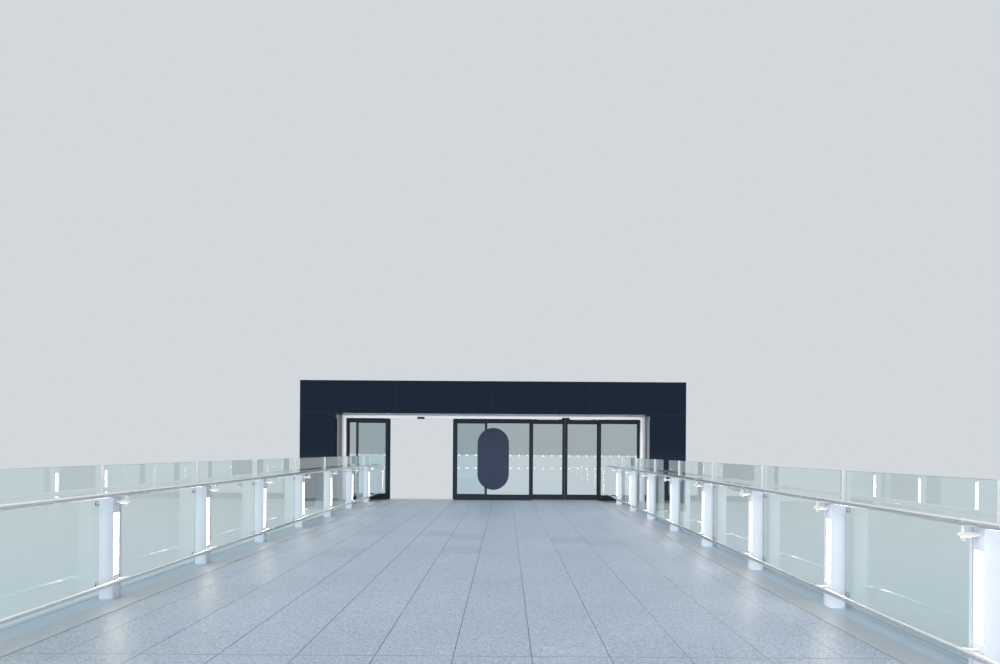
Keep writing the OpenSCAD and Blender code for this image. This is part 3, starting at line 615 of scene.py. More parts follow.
# The finishes that have a function of their own
SINGLE_FINISHES = {made.__name__: made for made in (
    flamed_granite, mortar, steel_paint, cast_concrete, zinc_plate, laminated_glass, double_glazing,
    spandrel_glass, opal_light)}

# Glass that lamps shine through, and its tint
CLEAR_SHEETS = {"laminated_glass": "clear_glass", "double_glazing": "door_glass"}

# The finish of each CAD node. No finish has the name of one of the CAD's own materials
NODE_FINISHES = {
    "cast_concrete": ("deck_slab", "landing_slab"),
    "mill_aluminium": ("drain_covers",),
    "kerb_sheet": ("kerb_strips",),
    "steel_paint": ("edge_beams", "left_girder", "right_girder", "cross_beams", "soffit_panels",
                    "outriggers", "landing_brackets", "near_crosshead", "terminal_crosshead",
                    "near_columns", "terminal_columns"),
    "zinc_plate": ("bearing_shoes",),
    "white_powder_coat": ("left_posts", "right_posts"),
    "frame_coat": ("portal_frame",),
    "opal_light": ("post_lights",),
    "brushed_stainless": ("threshold", "stanchions", "glass_clamps", "handrails", "low_rails",
                          "rail_brackets"),
    "laminated_glass": ("left_glass", "right_glass"),
    "backing_sheet": ("fascia_box", "left_cheek", "right_cheek"),
    "spandrel_glass": ("fascia_panels", "cheek_panels"),
    "anthracite_powder_coat": ("side_screens", "centre_screen", "door_track", "left_outer_leaf",
                               "left_inner_leaf", "right_outer_leaf", "right_inner_leaf"),
    "double_glazing": ("screen_glass", "left_outer_pane", "left_inner_pane", "right_outer_pane",
                       "right_inner_pane"),
    "black_moulding": ("door_sensors",),
}


def let_lamps_through(tree, skin, clear):
    """Lets light from lamps pass a sheet of glass straight, half its tint from each of its two faces."""
    ray = add_node(tree, "ShaderNodeLightPath").outputs["Is Shadow Ray"]
    face = [math.sqrt(c) for c in clear]
    sheet = add_node(tree, "ShaderNodeBsdfTransparent", {"Color": (*face, 1)})
    return add_node(tree, "ShaderNodeMixShader", {0: ray, 1: skin, 2: sheet})


def new_material(name):
    """A material with an empty tree, and the place on its piece that its patterns follow."""
    made = bpy.data.materials.new(name)
    made.use_nodes = True
    made.node_tree.nodes.clear()
    place = add_node(made.node_tree, "ShaderNodeTexCoord").outputs["Object"]
    return made, made.node_tree, place


def finish(name):
    """The named finish, made once."""
    if name in bpy.data.materials:
        return bpy.data.materials[name]
    made, tree, place = new_material(name)
    if name in COATS:
        inputs = coated(tree, place, *COATS[name])
    elif name in BRUSHED:
        inputs = brushed(tree, place, *BRUSHED[name])
    else:
        inputs = SINGLE_FINISHES[name](tree, place)
    surface = add_node(tree, "ShaderNodeBsdfPrincipled", inputs)
    if name in CLEAR_SHEETS:
        surface = let_lamps_through(tree, surface, colour(CLEAR_SHEETS[name]))
    add_node(tree, "ShaderNodeOutputMaterial", {"Surface": surface})
    return made


# Steps


class LINKBRIDGE_OT_build_stage(bpy.types.Operator):
    """Builds the studio: floor, world, lamps and the camera at the walkway's near end"""

    bl_idname = "linkbridge.build_stage"
    bl_label = "Build Studio"

    def execute(self, context):
        self.camera()
        self.floor()
        self.world()
        self.lamps()
        context.scene.view_settings.view_transform = "Standard"
        return {"FINISHED"}

    def camera(self):
        """A camera with a shifted lens and a slight roll, at eye height over the near end of the walkway."""
        size = sizes()
        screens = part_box("centre_screen")[0]
        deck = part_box("granite_paving")[1].z
        roll = -0.0065
        data = bpy.data.cameras.new("camera")
        data.sensor_width = 36.0
        data.lens = 24.0
        data.shift_x, data.shift_y = -0.0056, 0.1182
        data.clip_start, data.clip_end = 0.1, 2000.0
        eye = bpy.data.objects.new("camera", data)
        eye.location = (size.camera_side, screens.y - size.camera_back, deck + size.camera_height)
        eye.rotation_euler = (math.pi / 2, roll, 0)
        bpy.context.scene.collection.objects.link(eye)
        bpy.context.scene.camera = eye

    def floor(self):
        """A pale floor that fades into the backdrop away from the bridge."""
        reach, fade_start, fade_end = 900, 22.0, 60.0
        ground = primitive("studio_floor", bpy.ops.mesh.primitive_circle_add, vertices=96, radius=reach,
                           fill_type="NGON")
        made, tree, place = new_material("studio_floor")
        skin = add_node(tree, "ShaderNodeBsdfPrincipled", {"Base Color": opaque("floor"), "Roughness": 0.8})
        away = add_node(tree, "ShaderNodeVectorMath", {0: place}, operation="LENGTH").outputs["Value"]
        fade = add_node(tree, "ShaderNodeMapRange", {"Value": away, "From Min": fade_start,
                                                     "From Max": fade_end},
                        interpolation_type="SMOOTHSTEP")
        glow = add_node(tree, "ShaderNodeEmission", {"Color": opaque("floor"), "Strength": 1.0})
        surface = add_node(tree, "ShaderNodeMixShader", {0: fade, 1: skin, 2: glow})
        add_node(tree, "ShaderNodeOutputMaterial", {"Surface": surface})
        ground.data.materials.append(made)

    def world(self):
        """A pale world: soft light, the floor's colour for the eye, and a sky that brightens upwards
        for what mirrors it."""
        world = bpy.data.worlds.new("studio")
        bpy.context.scene.world = world
        world.use_nodes = True
        tree = world.node_tree
        tree.nodes.clear()
        rays = add_node(tree, "ShaderNodeLightPath").outputs
        seen = add_node(tree, "ShaderNodeMath", {0: rays["Is Camera Ray"], 1: rays["Is Transmission Ray"]},
                        operation="MAXIMUM")
        soft = add_node(tree, "ShaderNodeBackground", {"Color": opaque("sky"), "Strength": 0.66})
        back = add_node(tree, "ShaderNodeBackground", {"Color": opaque("floor"), "Strength": 1.0})
        direction = add_node(tree, "ShaderNodeTexCoord").outputs["Generated"]
        upwards = add_node(tree, "ShaderNodeSeparateXYZ", {"Vector": direction}).outputs["Z"]
        bright = add_node(tree, "ShaderNodeMapRange", {
            "Value": upwards, "From Min": 0.1, "From Max": 0.75, "To Min": 0.66, "To Max": 1.7})
        sky = add_node(tree, "ShaderNodeBackground", {"Color": opaque("floor"), "Strength": bright})
        plain = add_node(tree, "ShaderNodeMixShader", {0: seen, 1: soft, 2: back})
        whole = add_node(tree, "ShaderNodeMixShader", {0: rays["Is Glossy Ray"], 1: plain, 2: sky})
        add_node(tree, "ShaderNodeOutputWorld", {"Surface": whole})

    def lamps(self):
        """A broad low key from the front left, two lights along the walkway and a fill from the right.
        Each has its strength, its width in degrees and its turn in degrees."""
        for name, energy, angle, turn in (
                ("key", 2.3, 40, (68, 0, -70)), ("front_left", 1.0, 5, (88, 0, -4)),
                ("front_right", 0.85, 5, (88, 0, 6)), ("fill", 0.25, 60, (62, 0, 118))):
            data = bpy.data.lights.new(name, "SUN")
            data.energy = energy
            data.angle = math.radians(angle)
            lamp = bpy.data.objects.new(name, data)
            lamp.rotation_euler = [math.radians(a) for a in turn]
            lamp.visible_glossy = lamp.visible_transmission = False
            bpy.context.scene.collection.objects.link(lamp)


class LINKBRIDGE_OT_finish_structure(bpy.types.Operator):
    """Gives every part of the bridge's own structure its finish"""

    bl_idname = "linkbridge.finish_structure"
    bl_label = "Finish Structure"

    def execute(self, context):
        for name, nodes in NODE_FINISHES.items():
            for node in nodes:
                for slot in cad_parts[node].material_slots:
                    slot.material = finish(name)
        return {"FINISHED"}


class LINKBRIDGE_OT_lay_paving(bpy.types.Operator):
    """Lays the granite slabs in half-bonded strips on a mortar bed"""

    bl_idname = "linkbridge.lay_paving"
    bl_label = "Lay Paving"

    # Strip and row of the slabs that are plainly darker, counted from the centreline and the near end
    dark_slabs = {(-4, 10), (-2, 10), (-1, 10), (-1, 8), (-4, 7), (2, 9), (3, 9)}
    dark_tone = 0.9
    tone_range = (0.97, 1.02)

    def execute(self, context):
        width = sizes().slab_width
        low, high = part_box("granite_paving")
        joint_depth = 4 * MM
        bed_top = high.z - joint_depth
        bed = block("paving_bed", low, (high.x, high.y, bed_top), bevel=0.5 * MM, segments=1)
        inner = range(math.ceil(low.x / width), math.ceil(high.x / width))
        lines = [low.x, *(number * width for number in inner), high.x]
        strips = [self.strip(left, right, low.y - self.stagger(number), bed_top)
                  for number, (left, right) in enumerate(zip(lines, lines[1:]))]
        slabs = join("paving_slabs", strips)
        self.tone(slabs)
        set_out(slabs, "flamed_granite", stands_for=("granite_paving",))
        set_out(bed, "mortar")
        return {"FINISHED"}

    def stagger(self, number):
        """How far before the deck's near end a strip's first slab starts: half a slab in every other one."""
        return sizes().slab_length / 2 if number % 2 else 0

    def strip(self, left, right, start, bottom):
        """One strip of slabs along the walkway, cut off at the deck's two ends."""
        size = sizes()
        low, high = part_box("granite_paving")
        half = size.slab_gap / 2
        slab = block("slab", (left + half, start + half, bottom - BITE),
                     (right - half, start + size.slab_length - half, high.z),
                     bevel=size.slab_arris, segments=1)
        run = slab.modifiers.new("run", "ARRAY")
        run.use_relative_offset = False
        run.use_constant_offset = True
        run.constant_offset_displace = (0, size.slab_length, 0)
        run.count = math.ceil((high.y - start) / size.slab_length)
        pick(slab)
        bpy.ops.object.modifier_apply(modifier=run.name)
        for end, is_far in ((low.y, False), (high.y, True)):
            with editing(slab):
                bpy.ops.mesh.bisect(plane_co=(0, end, 0), plane_no=(0, 1, 0), use_fill=True,
                                    clear_inner=not is_far, clear_outer=is_far)
        return slab

    def tone(self, slabs):
        """Gives each slab a tone of its own, and a few a plainly darker one."""
        size = sizes()
        tones = random.Random(size.seed)
        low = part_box("granite_paving")[0]
        layer = slabs.data.attributes.new("slab_tone", "FLOAT", "FACE")
        known = {key: self.dark_tone for key in self.dark_slabs}
        for face in slabs.data.polygons:
            column = math.floor(face.center.x / size.slab_width)
            number = column - math.ceil(low.x / size.slab_width) + 1
            row = math.floor((face.center.y - low.y + self.stagger(number)) / size.slab_length)
            if (column, row) not in known:
                known[(column, row)] = tones.uniform(*self.tone_range)
            layer.data[face.index].value = known[(column, row)]


class LINKBRIDGE_OT_fit_expansion_joint(bpy.types.Operator):
    """Fits the metal edges and the rubber of the expansion joint across the paving"""

    bl_idname = "linkbridge.fit_expansion_joint"
    bl_label = "Fit Expansion Joint"

    def execute(self, context):
        size = sizes()
        low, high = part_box("granite_paving")
        middle = low.y + size.expansion_place
        half = size.expansion_width / 2
        bar = half / 2
        depth, rise = 3 * MM, 0.8 * MM
        edges = [block("joint_edge", (low.x, y, high.z - depth), (high.x, y + bar, high.z + rise),
                       bevel=0.4 * MM, segments=1) for y in (middle - half, middle + half - bar)]
        rubber = block("joint_rubber", (low.x, middle - half + bar, high.z - depth),
                       (high.x, middle + half - bar, high.z + rise / 2), bevel=0.3 * MM, segments=1)
        set_out(join("expansion_edges", edges), "mill_aluminium")
        set_out(rubber, "black_rubber")
        return {"FINISHED"}


class LINKBRIDGE_OT_set_posts(bpy.types.Operator):
    """Sets up the folded posts, each with a cap, a pocket, an opal light and its trim"""

    bl_idname = "linkbridge.set_posts"
    bl_label = "Set Posts"

    def execute(self, context):
        self.posts()
        self.panels()
        self.trims()
        return {"FINISHED"}

    def posts(self):
        """Folded posts with a pocket for the light, a groove beside it and a seam down the outer side."""
        size = sizes()
        low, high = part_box("right_posts")
        lights_low, lights_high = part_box("post_lights")
        light_y, light_w = light_strip()
        half = size.post_depth / 2
        past = 5 * MM
        cap_t, shadow_gap = 4 * MM, 0.5 * MM
        seam_w, seam_back = 3 * MM, 20 * MM
        groove = half - size.strip_width
        body_top = high.z - cap_t / 2
        body = block("post", (low.x, -half, low.z), (high.x, half, body_top),
                     bevel=size.post_radius, segments=3)
        cut(body, block("pocket", (low.x - half, light_y, lights_low.z),
                        (lights_high.x, light_y + light_w, lights_high.z)))
        cut(body, block("groove", (low.x - past, groove - size.groove_width, low.z - past),
                        (low.x + size.groove_depth, groove, high.z + past)))
        cut(body, block("seam", (high.x - seam_back - seam_w, -half - past, low.z - past),
                        (high.x - seam_back, -half + seam_w, high.z + past)))
        cap = block("cap", (low.x, -half, body_top + shadow_gap), (high.x, half, high.z + cap_t / 2),
                    bevel=1.5 * MM)
        post = join("post", [smooth(body, angle=30), smooth(cap, angle=30)])
        set_out(along_posts("folded_posts", post), "white_powder_coat",
                stands_for=("left_posts", "right_posts"))

    def panels(self):
        """Opal panels in the posts' pockets."""
        low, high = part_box("post_lights")
        light_y, light_w = light_strip()
        opal_t, edge = 24 * MM, 0.5 * MM
        opal = block("opal", (high.x - opal_t, light_y + edge, low.z + edge),
                     (high.x, light_y + light_w - edge, high.z - edge), bevel=3 * MM, segments=3)
        set_out(along_posts("opal_panels", smooth(opal)), "opal_light",
                stands_for=("post_lights",))

    def trims(self):
        """A screwed frame round each light."""
        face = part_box("right_posts")[0].x
        low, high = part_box("post_lights")
        light_w = light_strip()[1]
        middle = light_middle()
        trim_w, trim_t = 5 * MM, 1.2 * MM
        screw_r, screw_rise = 2.2 * MM, 0.8 * MM
        trim = ring("trim", (-light_w / 2 - trim_w, 0, low.z - trim_w),
                    (light_w / 2 + trim_w, 0, high.z + trim_w), trim_w, trim_t)
        moved(trim, (face - trim_t, middle, 0), -math.pi / 2)
        screws = [rod("screw", (face, middle, z), (face - trim_t - screw_rise, middle, z), screw_r, sides=12)
                  for z in (low.z - trim_w / 2, high.z + trim_w / 2)]
        set_out(along_posts("light_trims", join("trim", [trim, *screws])), "white_powder_coat")


class LINKBRIDGE_OT_run_rails(bpy.types.Operator):
    """Runs the handrails and low rails, with a sleeve at each post and a cap at each end"""

    bl_idname = "linkbridge.run_rails"
    bl_label = "Run Rails"

    def execute(self, context):
        for node, name, shift in (("handrails", "handrail_tubes", light_middle()),
                                  ("low_rails", "low_rail_tubes", 0)):
            low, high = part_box(node)
            left, right = (self.rail(low, high, [y + shift for y in post_places(side)]) for side in SIDES)
            set_out(join(name, [right, mirrored(left)]), "brushed_stainless",
                    stands_for=(node,))
        return {"FINISHED"}

    def rail(self, low, high, places):
        """One rail on the right-hand side."""
        half = sizes().sleeve_length / 2
        sleeve_r = (high.z - low.z) / 2
        tube_r = sleeve_r - 2 * MM
        cap_r, cap = tube_r + 1.5 * MM, 7 * MM
        x, z = high.x - sleeve_r, (low.z + high.z) / 2
        parts = [rod("tube", (x, low.y + cap / 2, z), (x, high.y - cap / 2, z), tube_r, sides=40)]
        for start, end in ((low.y, low.y + cap), (high.y - cap, high.y)):
            parts.append(rod("cap", (x, start, z), (x, end, z), cap_r, sides=40, bevel=2 * MM))
        for y in places:
            parts.append(rod("sleeve", (x, y - half, z), (x, y + half, z), sleeve_r, sides=40,
                             bevel=1.2 * MM))
        return join("rail", parts)


class LINKBRIDGE_OT_fix_brackets(bpy.types.Operator):
    """Fixes the tapered rail brackets and the low rail's arms to the posts"""

    bl_idname = "linkbridge.fix_brackets"
    bl_label = "Fix Brackets"

    def execute(self, context):
        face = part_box("right_posts")[0].x
        rail_low, rail_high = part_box("handrails")
        rail_r = (rail_high.z - rail_low.z) / 2
        rail_x = rail_high.x - rail_r
        parts = self.handrail_bracket(face, rail_x, rail_low.z, rail_low.z + rail_r)
        parts += self.low_bracket(face, rail_x)
        set_out(along_posts("bracket_arms", join("bracket", parts)), "blasted_stainless",
                stands_for=("rail_brackets",))
        return {"FINISHED"}

    def handrail_bracket(self, face, rail_x, underside, rail_z):
        """A tapered arm with a ball at its end, and a stub from below the arm up to the handrail."""
        drop, reach = 88 * MM, 129 * MM
        y, z = light_middle(), rail_z - drop
        tip_x = face - reach
        root_r, ball_r, stub_r, head_r = 12 * MM, 19 * MM, 14 * MM, 17 * MM
        tail, stub_bite, head_bite, head_drop = 35 * MM, 3 * MM, 4 * MM, 5 * MM
        return [
            cone("arm", (face, y, z), (tip_x, y, z), root_r, ball_r - 0.5 * MM, sides=32),
            ball("arm_end", (tip_x, y, z), ball_r),
            rod("stub", (rail_x, y, z - tail), (rail_x, y, underside + stub_bite), stub_r, sides=32,
                bevel=1.5 * MM),
            rod("stub_head", (rail_x, y, underside - head_drop), (rail_x, y, underside + head_bite),
                head_r, sides=32, bevel=2 * MM),
        ]

    def low_bracket(self, face, rail_x):
        """A straight arm with a screwed rose on the post and a collar at the low rail."""
        low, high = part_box("low_rails")
        rail_r = (high.z - low.z) / 2
        z = (low.z + high.z) / 2
        near = rail_x + rail_r
        rose_t, rose_r, arm_r, collar_r = 5 * MM, 24 * MM, 11 * MM, 15 * MM
        screw_y, screw_r, screw_rise = 18 * MM, 3.2 * MM, 1.2 * MM
        arm_bite, collar_bite, collar_out = 3 * MM, 4 * MM, 8 * MM
        parts = [
            rod("low_rose", (face, 0, z), (face - rose_t, 0, z), rose_r, sides=32, bevel=1.5 * MM),
            rod("low_arm", (face, 0, z), (near - arm_bite, 0, z), arm_r),
            rod("low_collar", (near + collar_out, 0, z), (near - collar_bite, 0, z), collar_r,
                bevel=2 * MM),
        ]
        for y in (-screw_y, screw_y):
            parts.append(rod("screw", (face - rose_t, y, z), (face - rose_t - screw_rise, y, z), screw_r,
                             sides=12))
        return parts


class LINKBRIDGE_OT_clamp_glass(bpy.types.Operator):
    """Cuts the balustrade glass with polished edges and clamps it to blades behind the posts"""

    bl_idname = "linkbridge.clamp_glass"
    bl_label = "Clamp Glass"

    def execute(self, context):
        for side, node in zip(SIDES, ("left_glass", "right_glass")):
            self.sheets(side, node)
        low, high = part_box("stanchions")
        post_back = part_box("right_posts")[1].x
        half_t = 8 * MM
        blade = block("blade", (post_back - BITE, -half_t, low.z), (high.x, half_t, high.z),
                      bevel=2 * MM)
        set_out(along_posts("blades", smooth(blade, angle=30)), "blasted_stainless",
                stands_for=("stanchions",))
        self.clamps()
        return {"FINISHED"}

    def sheets(self, side, node):
        """The sheets of one side, between the joints at the posts."""
        low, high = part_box(node)
        gap = 6 * MM
        joints = [low.y - gap, *post_places(side), high.y + gap]
        sheets = [block("sheet", (low.x, start + gap, low.z), (high.x, end - gap, high.z),
                        bevel=1.5 * MM, segments=1) for start, end in zip(joints, joints[1:])]
        set_out(join(node + "_sheets", sheets), "laminated_glass", stands_for=(node,))

    def clamps(self):
        """Discs with clear pads on both faces of the glass, on a bar through the blade."""
        disc_r = sizes().clamp_radius
        glass_low, glass_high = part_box("right_glass")
        clamp_low, clamp_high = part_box("glass_clamps")
        disc_t = clamp_high.x - glass_high.x
        pad_t, pad_r = 1.2 * MM, disc_r * 0.97
        reach, bar_r = 46 * MM, 7 * MM
        bar_x, bar_end = glass_low.x - 11.5 * MM, reach + bar_r
        metal, pads = [], []
        for z in (clamp_low.z + disc_r, clamp_high.z - disc_r):
            metal.append(rod("bar", (bar_x, -bar_end, z), (bar_x, bar_end, z), bar_r, bevel=1.5 * MM))
            for y in (-reach, reach):
                for face, out in ((glass_low.x, -1), (glass_high.x, 1)):
                    seat = face + out * pad_t
                    metal.append(rod("disc", (seat, y, z), (face + out * disc_t, y, z), disc_r, sides=32,
                                     bevel=1.8 * MM))
                    pads.append(rod("pad", (face, y, z), (seat, y, z), pad_r))
        set_out(along_posts("clamp_discs", join("clamp", metal)), "blasted_stainless",
                stands_for=("glass_clamps",))
        set_out(along_posts("clamp_pads", join("pad", pads)), "clear_pad")


class LINKBRIDGE_OT_dress_portal(bpy.types.Operator):
    """Dresses the screens and doors: gaskets, seals, dots, the plain capsule and the sensors"""

    bl_idname = "linkbridge.dress_portal"
    bl_label = "Dress Portal"

    def execute(self, context):
        for door in DOORS:
            low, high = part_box(door + "_pane")
            set_out(self.gasket(door + "_gasket", low, high), "black_rubber", door + "_door")
            set_out(self.dots(door + "_dots", [(low, high)]), "dot_film", door + "_door")
            self.seal(door)
        panes = self.fixed_panes()
        gaskets = [self.gasket("gasket", low, high) for low, high in panes]
        set_out(join("screen_gaskets", gaskets), "black_rubber")
        set_out(self.dots("screen_dots", panes), "dot_film")
        self.capsule()
        self.sensors()
        self.joints()
        self.rear_sheets()
        return {"FINISHED"}

    def fixed_panes(self):
        """The corners of the three fixed panes."""
        size = sizes()
        low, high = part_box("screen_glass")
        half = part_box("centre_screen")[1].x - size.stile_width
        outer = high.x
        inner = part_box("side_screens")[1].x - size.side_screen_width + size.stile_width
        ranges = ((-outer, -inner), (-half, half), (inner, outer))
        return [(Vector((a, low.y, low.z)), Vector((b, high.y, high.z))) for a, b in ranges]

    def gasket(self, name, low, high):
        """Black gaskets on both faces of a pane, where it meets its frame."""
        width, depth = 10 * MM, 5 * MM
        front = ring("front", (low.x, low.y - depth, low.z), (high.x, 0, high.z), width, depth)
        back = ring("back", (low.x, high.y, low.z), (high.x, 0, high.z), width, depth)
        return join(name, [front, back])

    def dots(self, name, panes):
        """Two rows of dots on the panes, spaced from each pane's middle, none behind the capsule."""
        size = sizes()
        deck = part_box("granite_paving")[1].z
        radius = size.dot_width / 2
        rise, sunk = 0.5 * MM, 0.2 * MM
        made = []
        for low, high in panes:
            count = math.floor((high.x - low.x - size.dot_width) / size.dot_pitch) + 1
            for i in range(count):
                x = (low.x + high.x) / 2 + (i - (count - 1) / 2) * size.dot_pitch
                if abs(x) < size.capsule_width / 2 + radius:
                    continue
                for z in (deck + size.dot_low, deck + size.dot_high):
                    made.append(rod("dot", (x, low.y - rise, z), (x, low.y + sunk, z), radius))
        return join(name, made)

    def seal(self, door):
        """A brush seal on the leaf's edge that meets the other leaf."""
        low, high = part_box(door + "_leaf")
        pane_low, pane_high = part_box(door + "_pane")
        out = 1 if door in ("right_inner", "left_outer") else -1
        edge = high.x if out > 0 else low.x
        middle = (pane_low.y + pane_high.y) / 2
        root, tip, half = 2 * MM, 2.5 * MM, 9 * MM
        lift, above_pane = 5 * MM, 110 * MM
        near, far = sorted((edge - out * root, edge + out * tip))
        brush = block(door + "_seal", (near, middle - half, low.z + lift),
                      (far, middle + half, pane_high.z + above_pane), bevel=0.8 * MM, segments=1)
        set_out(brush, "black_rubber", door + "_door")

    def capsule(self):
        """A plain dark film with round ends on the centre pane."""
        size = sizes()
        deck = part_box("granite_paving")[1].z
        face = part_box("screen_glass")[0].y
        radius = size.capsule_width / 2
        middle = deck + (size.capsule_low + size.capsule_high) / 2
        straight = (size.capsule_high - size.capsule_low) / 2 - radius
        film_t, proud = 0.6 * MM, 0.2 * MM
        film = primitive("capsule_film", bpy.ops.mesh.primitive_cylinder_add, vertices=90, radius=radius,
                         depth=film_t, location=(0, face - proud, middle), rotation=(math.pi / 2, 0, 0))
        move_points(film, lambda p: p.z > middle, (0, 0, straight))
        move_points(film, lambda p: p.z < middle, (0, 0, -straight))
        set_out(film, "capsule_film")

    def sensors(self):
        """A moulded cover and a dark lens for each motion sensor."""
        low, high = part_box("door_sensors")
        inner = high.x - 220 * MM
        side, foot, head = 30 * MM, 14 * MM, 20 * MM
        proud, sunk = 1 * MM, 6 * MM
        cover = smooth(block("cover", (inner, low.y, low.z), high, bevel=14 * MM, segments=4))
        lens = smooth(block("lens", (inner + side, low.y - proud, low.z + foot),
                            (high.x - side, low.y + sunk, high.z - head), bevel=3 * MM))
        set_out(join("sensor_covers", both_sides(cover)), "black_moulding",
                stands_for=("door_sensors",))
        set_out(join("sensor_lenses", both_sides(lens)), "spandrel_glass")

    def joints(self):
        """Black gaskets set back in the joints of the dark glass."""
        low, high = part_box("fascia_panels")
        cheeks_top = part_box("cheek_panels")[1].z
        box_low, box_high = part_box("fascia_box")
        front, back = low.y + 5 * MM, low.y + 20 * MM
        half, gap, short = 10 * MM, 20 * MM, 2 * MM
        sheets = 4
        pitch = (box_high.x - box_low.x) / sheets
        strips = []
        for i in range(1, sheets):
            x = box_low.x + i * pitch
            strips.append(block("joint", (x - half, front, cheeks_top + gap), (x + half, back, high.z)))
        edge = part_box("right_cheek")[0].x - gap
        for a, b in ((box_low.x + short, -edge), (edge, box_high.x - short)):
            strips.append(block("joint", (a, front, cheeks_top), (b, back, cheeks_top + gap)))
        set_out(join("glass_joints", strips), "black_rubber")

    def rear_sheets(self):
        """Folded sheets with open joints on the back of the fascia and the cheeks."""
        box_low, box_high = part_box("fascia_box")
        cheek_low, cheek_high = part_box("right_cheek")
        gap, sheet_t, head_gap, fold = 8 * MM, 14 * MM, 12 * MM, 3 * MM
        count = 6
        pitch = (box_high.x - box_low.x) / count
        sheets = []
        for i in range(count):
            left = box_low.x + i * pitch
            sheets.append(block("sheet", (left + gap, box_high.y - BITE, box_low.z + gap),
                                (left + pitch - gap, box_high.y + sheet_t, box_high.z - head_gap),
                                bevel=fold))
        half = (cheek_high.z + cheek_low.z) / 2
        for z_low, z_high in ((cheek_low.z + gap, half - gap / 2), (half + gap / 2, cheek_high.z - gap)):
            sheets += both_sides(block("sheet", (cheek_low.x + gap, cheek_high.y - BITE, z_low),
                                       (cheek_high.x - gap, cheek_high.y + sheet_t, z_high), bevel=fold))
        set_out(smooth(join("rear_sheets", sheets), angle=30), "backing_sheet")


class LINKBRIDGE_OT_raise_columns(bpy.types.Operator):
    """Raises the round columns with base plates, gussets, weld beads and anchor bolts"""

    bl_idname = "linkbridge.raise_columns"
    bl_label = "Raise Columns"

    base_t = 50 * MM

    def execute(self, context):
        piers = [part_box("near_columns"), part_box("terminal_columns")]
        low, high = piers[0]
        base_half = (high.y - low.y) / 2
        cap_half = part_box("near_crosshead")[1].y - (low.y + high.y) / 2 - 10 * MM
        x = high.x - base_half
        places = [(side * x, (a.y + b.y) / 2, 0) for side in SIDES for a, b in piers]
        columns = copies(self.column(base_half, cap_half, high.z), places)
        set_out(join("column_shafts", columns), "steel_paint",
                stands_for=("near_columns", "terminal_columns"))
        reach = 360 * MM
        corners = [(cx + dx, cy + dy, 0) for cx, cy, _ in places for dx in (-reach, reach)
                   for dy in (-reach, reach)]
        set_out(join("anchor_bolts", copies(self.anchor(), corners)), "zinc_plate")
        return {"FINISHED"}

    def column(self, base_half, cap_half, top):
        """A round shaft between a base and a cap plate, with weld beads and four gussets at its foot."""
        radius, cap_t, bead_r = 240 * MM, 30 * MM, 9 * MM
        gusset_t, gusset_high, gusset_drop = 20 * MM, 300 * MM, 260 * MM
        gusset_root, gusset_end = radius - 20 * MM, base_half - 40 * MM
        parts = [
            block("base", (-base_half, -base_half, 0), (base_half, base_half, self.base_t), bevel=4 * MM),
            rod("shaft", (0, 0, self.base_t / 2), (0, 0, top - cap_t / 2), radius, sides=72),
            block("cap", (-cap_half, -cap_half, top - cap_t), (cap_half, cap_half, top), bevel=3 * MM),
            bead("weld", (0, 0, self.base_t), radius, bead_r),
            bead("weld", (0, 0, top - cap_t), radius, bead_r),
        ]
        for quarter in range(4):
            gusset = block("gusset", (gusset_root, -gusset_t / 2, self.base_t / 2),
                           (gusset_end, gusset_t / 2, self.base_t + gusset_high))
            move_points(gusset, lambda p: p.x > radius and p.z > self.base_t, (0, 0, -gusset_drop))
            parts.append(moved(gusset, (0, 0, 0), quarter * math.pi / 2))
        return join("column", parts)

    def anchor(self):
        """An anchor bolt's washer, nut and end of thread."""
        seat = self.base_t
        washer_r, nut_r, thread_r = 42 * MM, 31 * MM, 18 * MM
        washer_top = seat + 8 * MM
        nut_top = washer_top + 30 * MM
        thread_top = seat + 72 * MM
        return join("anchor", [
            rod("washer", (0, 0, seat), (0, 0, washer_top), washer_r, bevel=1 * MM),
            rod("nut", (0, 0, washer_top), (0, 0, nut_top), nut_r, sides=6, bevel=2 * MM),
            rod("thread", (0, 0, seat), (0, 0, thread_top), thread_r, bevel=2 * MM),
        ])


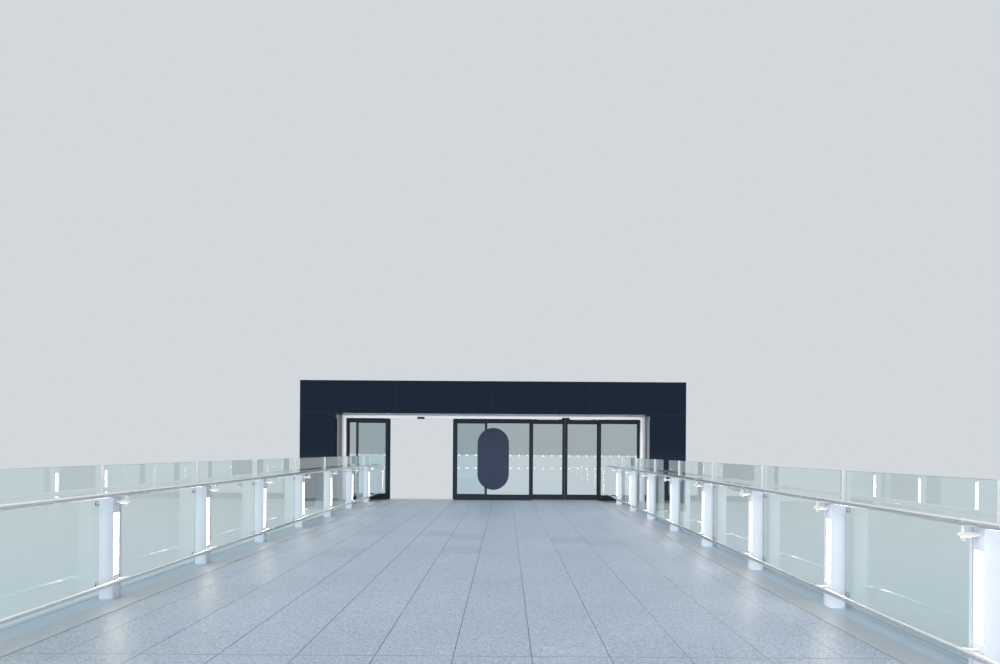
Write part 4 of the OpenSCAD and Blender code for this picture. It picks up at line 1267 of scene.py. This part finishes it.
class LINKBRIDGE_OT_drive_bolts(bpy.types.Operator):
    """Drives the bolts of the girder splices and the bearings"""

    bl_idname = "linkbridge.drive_bolts"
    bl_label = "Drive Bolts"

    def execute(self, context):
        girder_low, girder_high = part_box("right_girder")
        x = (girder_low.x + girder_high.x) / 2
        self.splices(x)
        self.bearings(x)
        return {"FINISHED"}

    def splices(self, x):
        """Bolts on both faces of the webs and under the flanges, at two splices in each girder."""
        size = sizes()
        head = 16 * MM
        web_out, plate_t, girder_depth = 24 * MM, 16 * MM, 650 * MM
        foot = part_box("deck_slab")[0].z - girder_depth
        rows = [foot + rise * MM for rise in (110, 224, 338)]
        web_steps = [step * MM for step in (-190, -70, 70, 190)]
        flange_steps = [step * MM for step in (-300, -190, -70, 70, 190, 300)]
        flange_rows = [step * MM for step in (-150, -75, 75, 150)]
        posts = post_places(-1)
        bay = (len(posts) - 1) // 3
        splices = [(side * x, posts[i] + size.bay_pitch / 2) for side in SIDES for i in (bay, -2 - bay)]
        made = []
        for out in SIDES:
            web = [(sx + out * web_out, sy + dy, z) for sx, sy in splices for dy in web_steps for z in rows]
            made += copies(bolt((0, 0, 0), size.bolt_width, head, (out, 0, 0)), web)
        under = [(sx + dx, sy + dy, foot - plate_t) for sx, sy in splices for dx in flange_rows
                 for dy in flange_steps]
        made += copies(bolt((0, 0, 0), size.bolt_width, head, (0, 0, -1)), under)
        set_out(join("splice_bolts", made), "zinc_plate")

    def bearings(self, x):
        """Bolts through the plates of the bearing shoes."""
        crossheads = [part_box("near_crosshead"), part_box("terminal_crosshead")]
        plate_t, head, reach = 25 * MM, 18 * MM, 155 * MM
        seat = crossheads[0][1].z + plate_t
        corners = [(side * x + dx, (a.y + b.y) / 2 + dy, seat) for side in SIDES for a, b in crossheads
                   for dx in (-reach, reach) for dy in (-reach, reach)]
        made = copies(bolt((0, 0, 0), sizes().bolt_width, head, (0, 0, 1)), corners)
        set_out(join("bearing_bolts", made), "zinc_plate")


STEPS = (
    LINKBRIDGE_OT_build_stage,
    LINKBRIDGE_OT_finish_structure,
    LINKBRIDGE_OT_lay_paving,
    LINKBRIDGE_OT_fit_expansion_joint,
    LINKBRIDGE_OT_set_posts,
    LINKBRIDGE_OT_run_rails,
    LINKBRIDGE_OT_fix_brackets,
    LINKBRIDGE_OT_clamp_glass,
    LINKBRIDGE_OT_dress_portal,
    LINKBRIDGE_OT_raise_columns,
    LINKBRIDGE_OT_drive_bolts,
)


class LINKBRIDGE_PT_tools(bpy.types.Panel):
    """Lists the steps that fit out the bridge"""

    bl_idname = "LINKBRIDGE_PT_tools"
    bl_label = "Link Bridge"
    bl_space_type = "VIEW_3D"
    bl_region_type = "UI"
    bl_category = "Link Bridge"

    def draw(self, context):
        for step in STEPS:
            self.layout.operator(step.bl_idname)


CLASSES = (LinkBridgeSizes, LinkBridgeColours, *STEPS, LINKBRIDGE_PT_tools)


def register():
    for made in CLASSES:
        bpy.utils.register_class(made)
    bpy.types.Scene.link_bridge_sizes = PointerProperty(type=LinkBridgeSizes)
    bpy.types.Scene.link_bridge_colours = PointerProperty(type=LinkBridgeColours)


def unregister():
    del bpy.types.Scene.link_bridge_colours
    del bpy.types.Scene.link_bridge_sizes
    for made in reversed(CLASSES):
        bpy.utils.unregister_class(made)


def run(step):
    """Calls an operator by its idname, as a button would."""
    group, name = step.bl_idname.split(".")
    getattr(getattr(bpy.ops, group), name)()


def main():
    register()
    for step in STEPS:
        run(step)


if __name__ == "__main__":
    main()
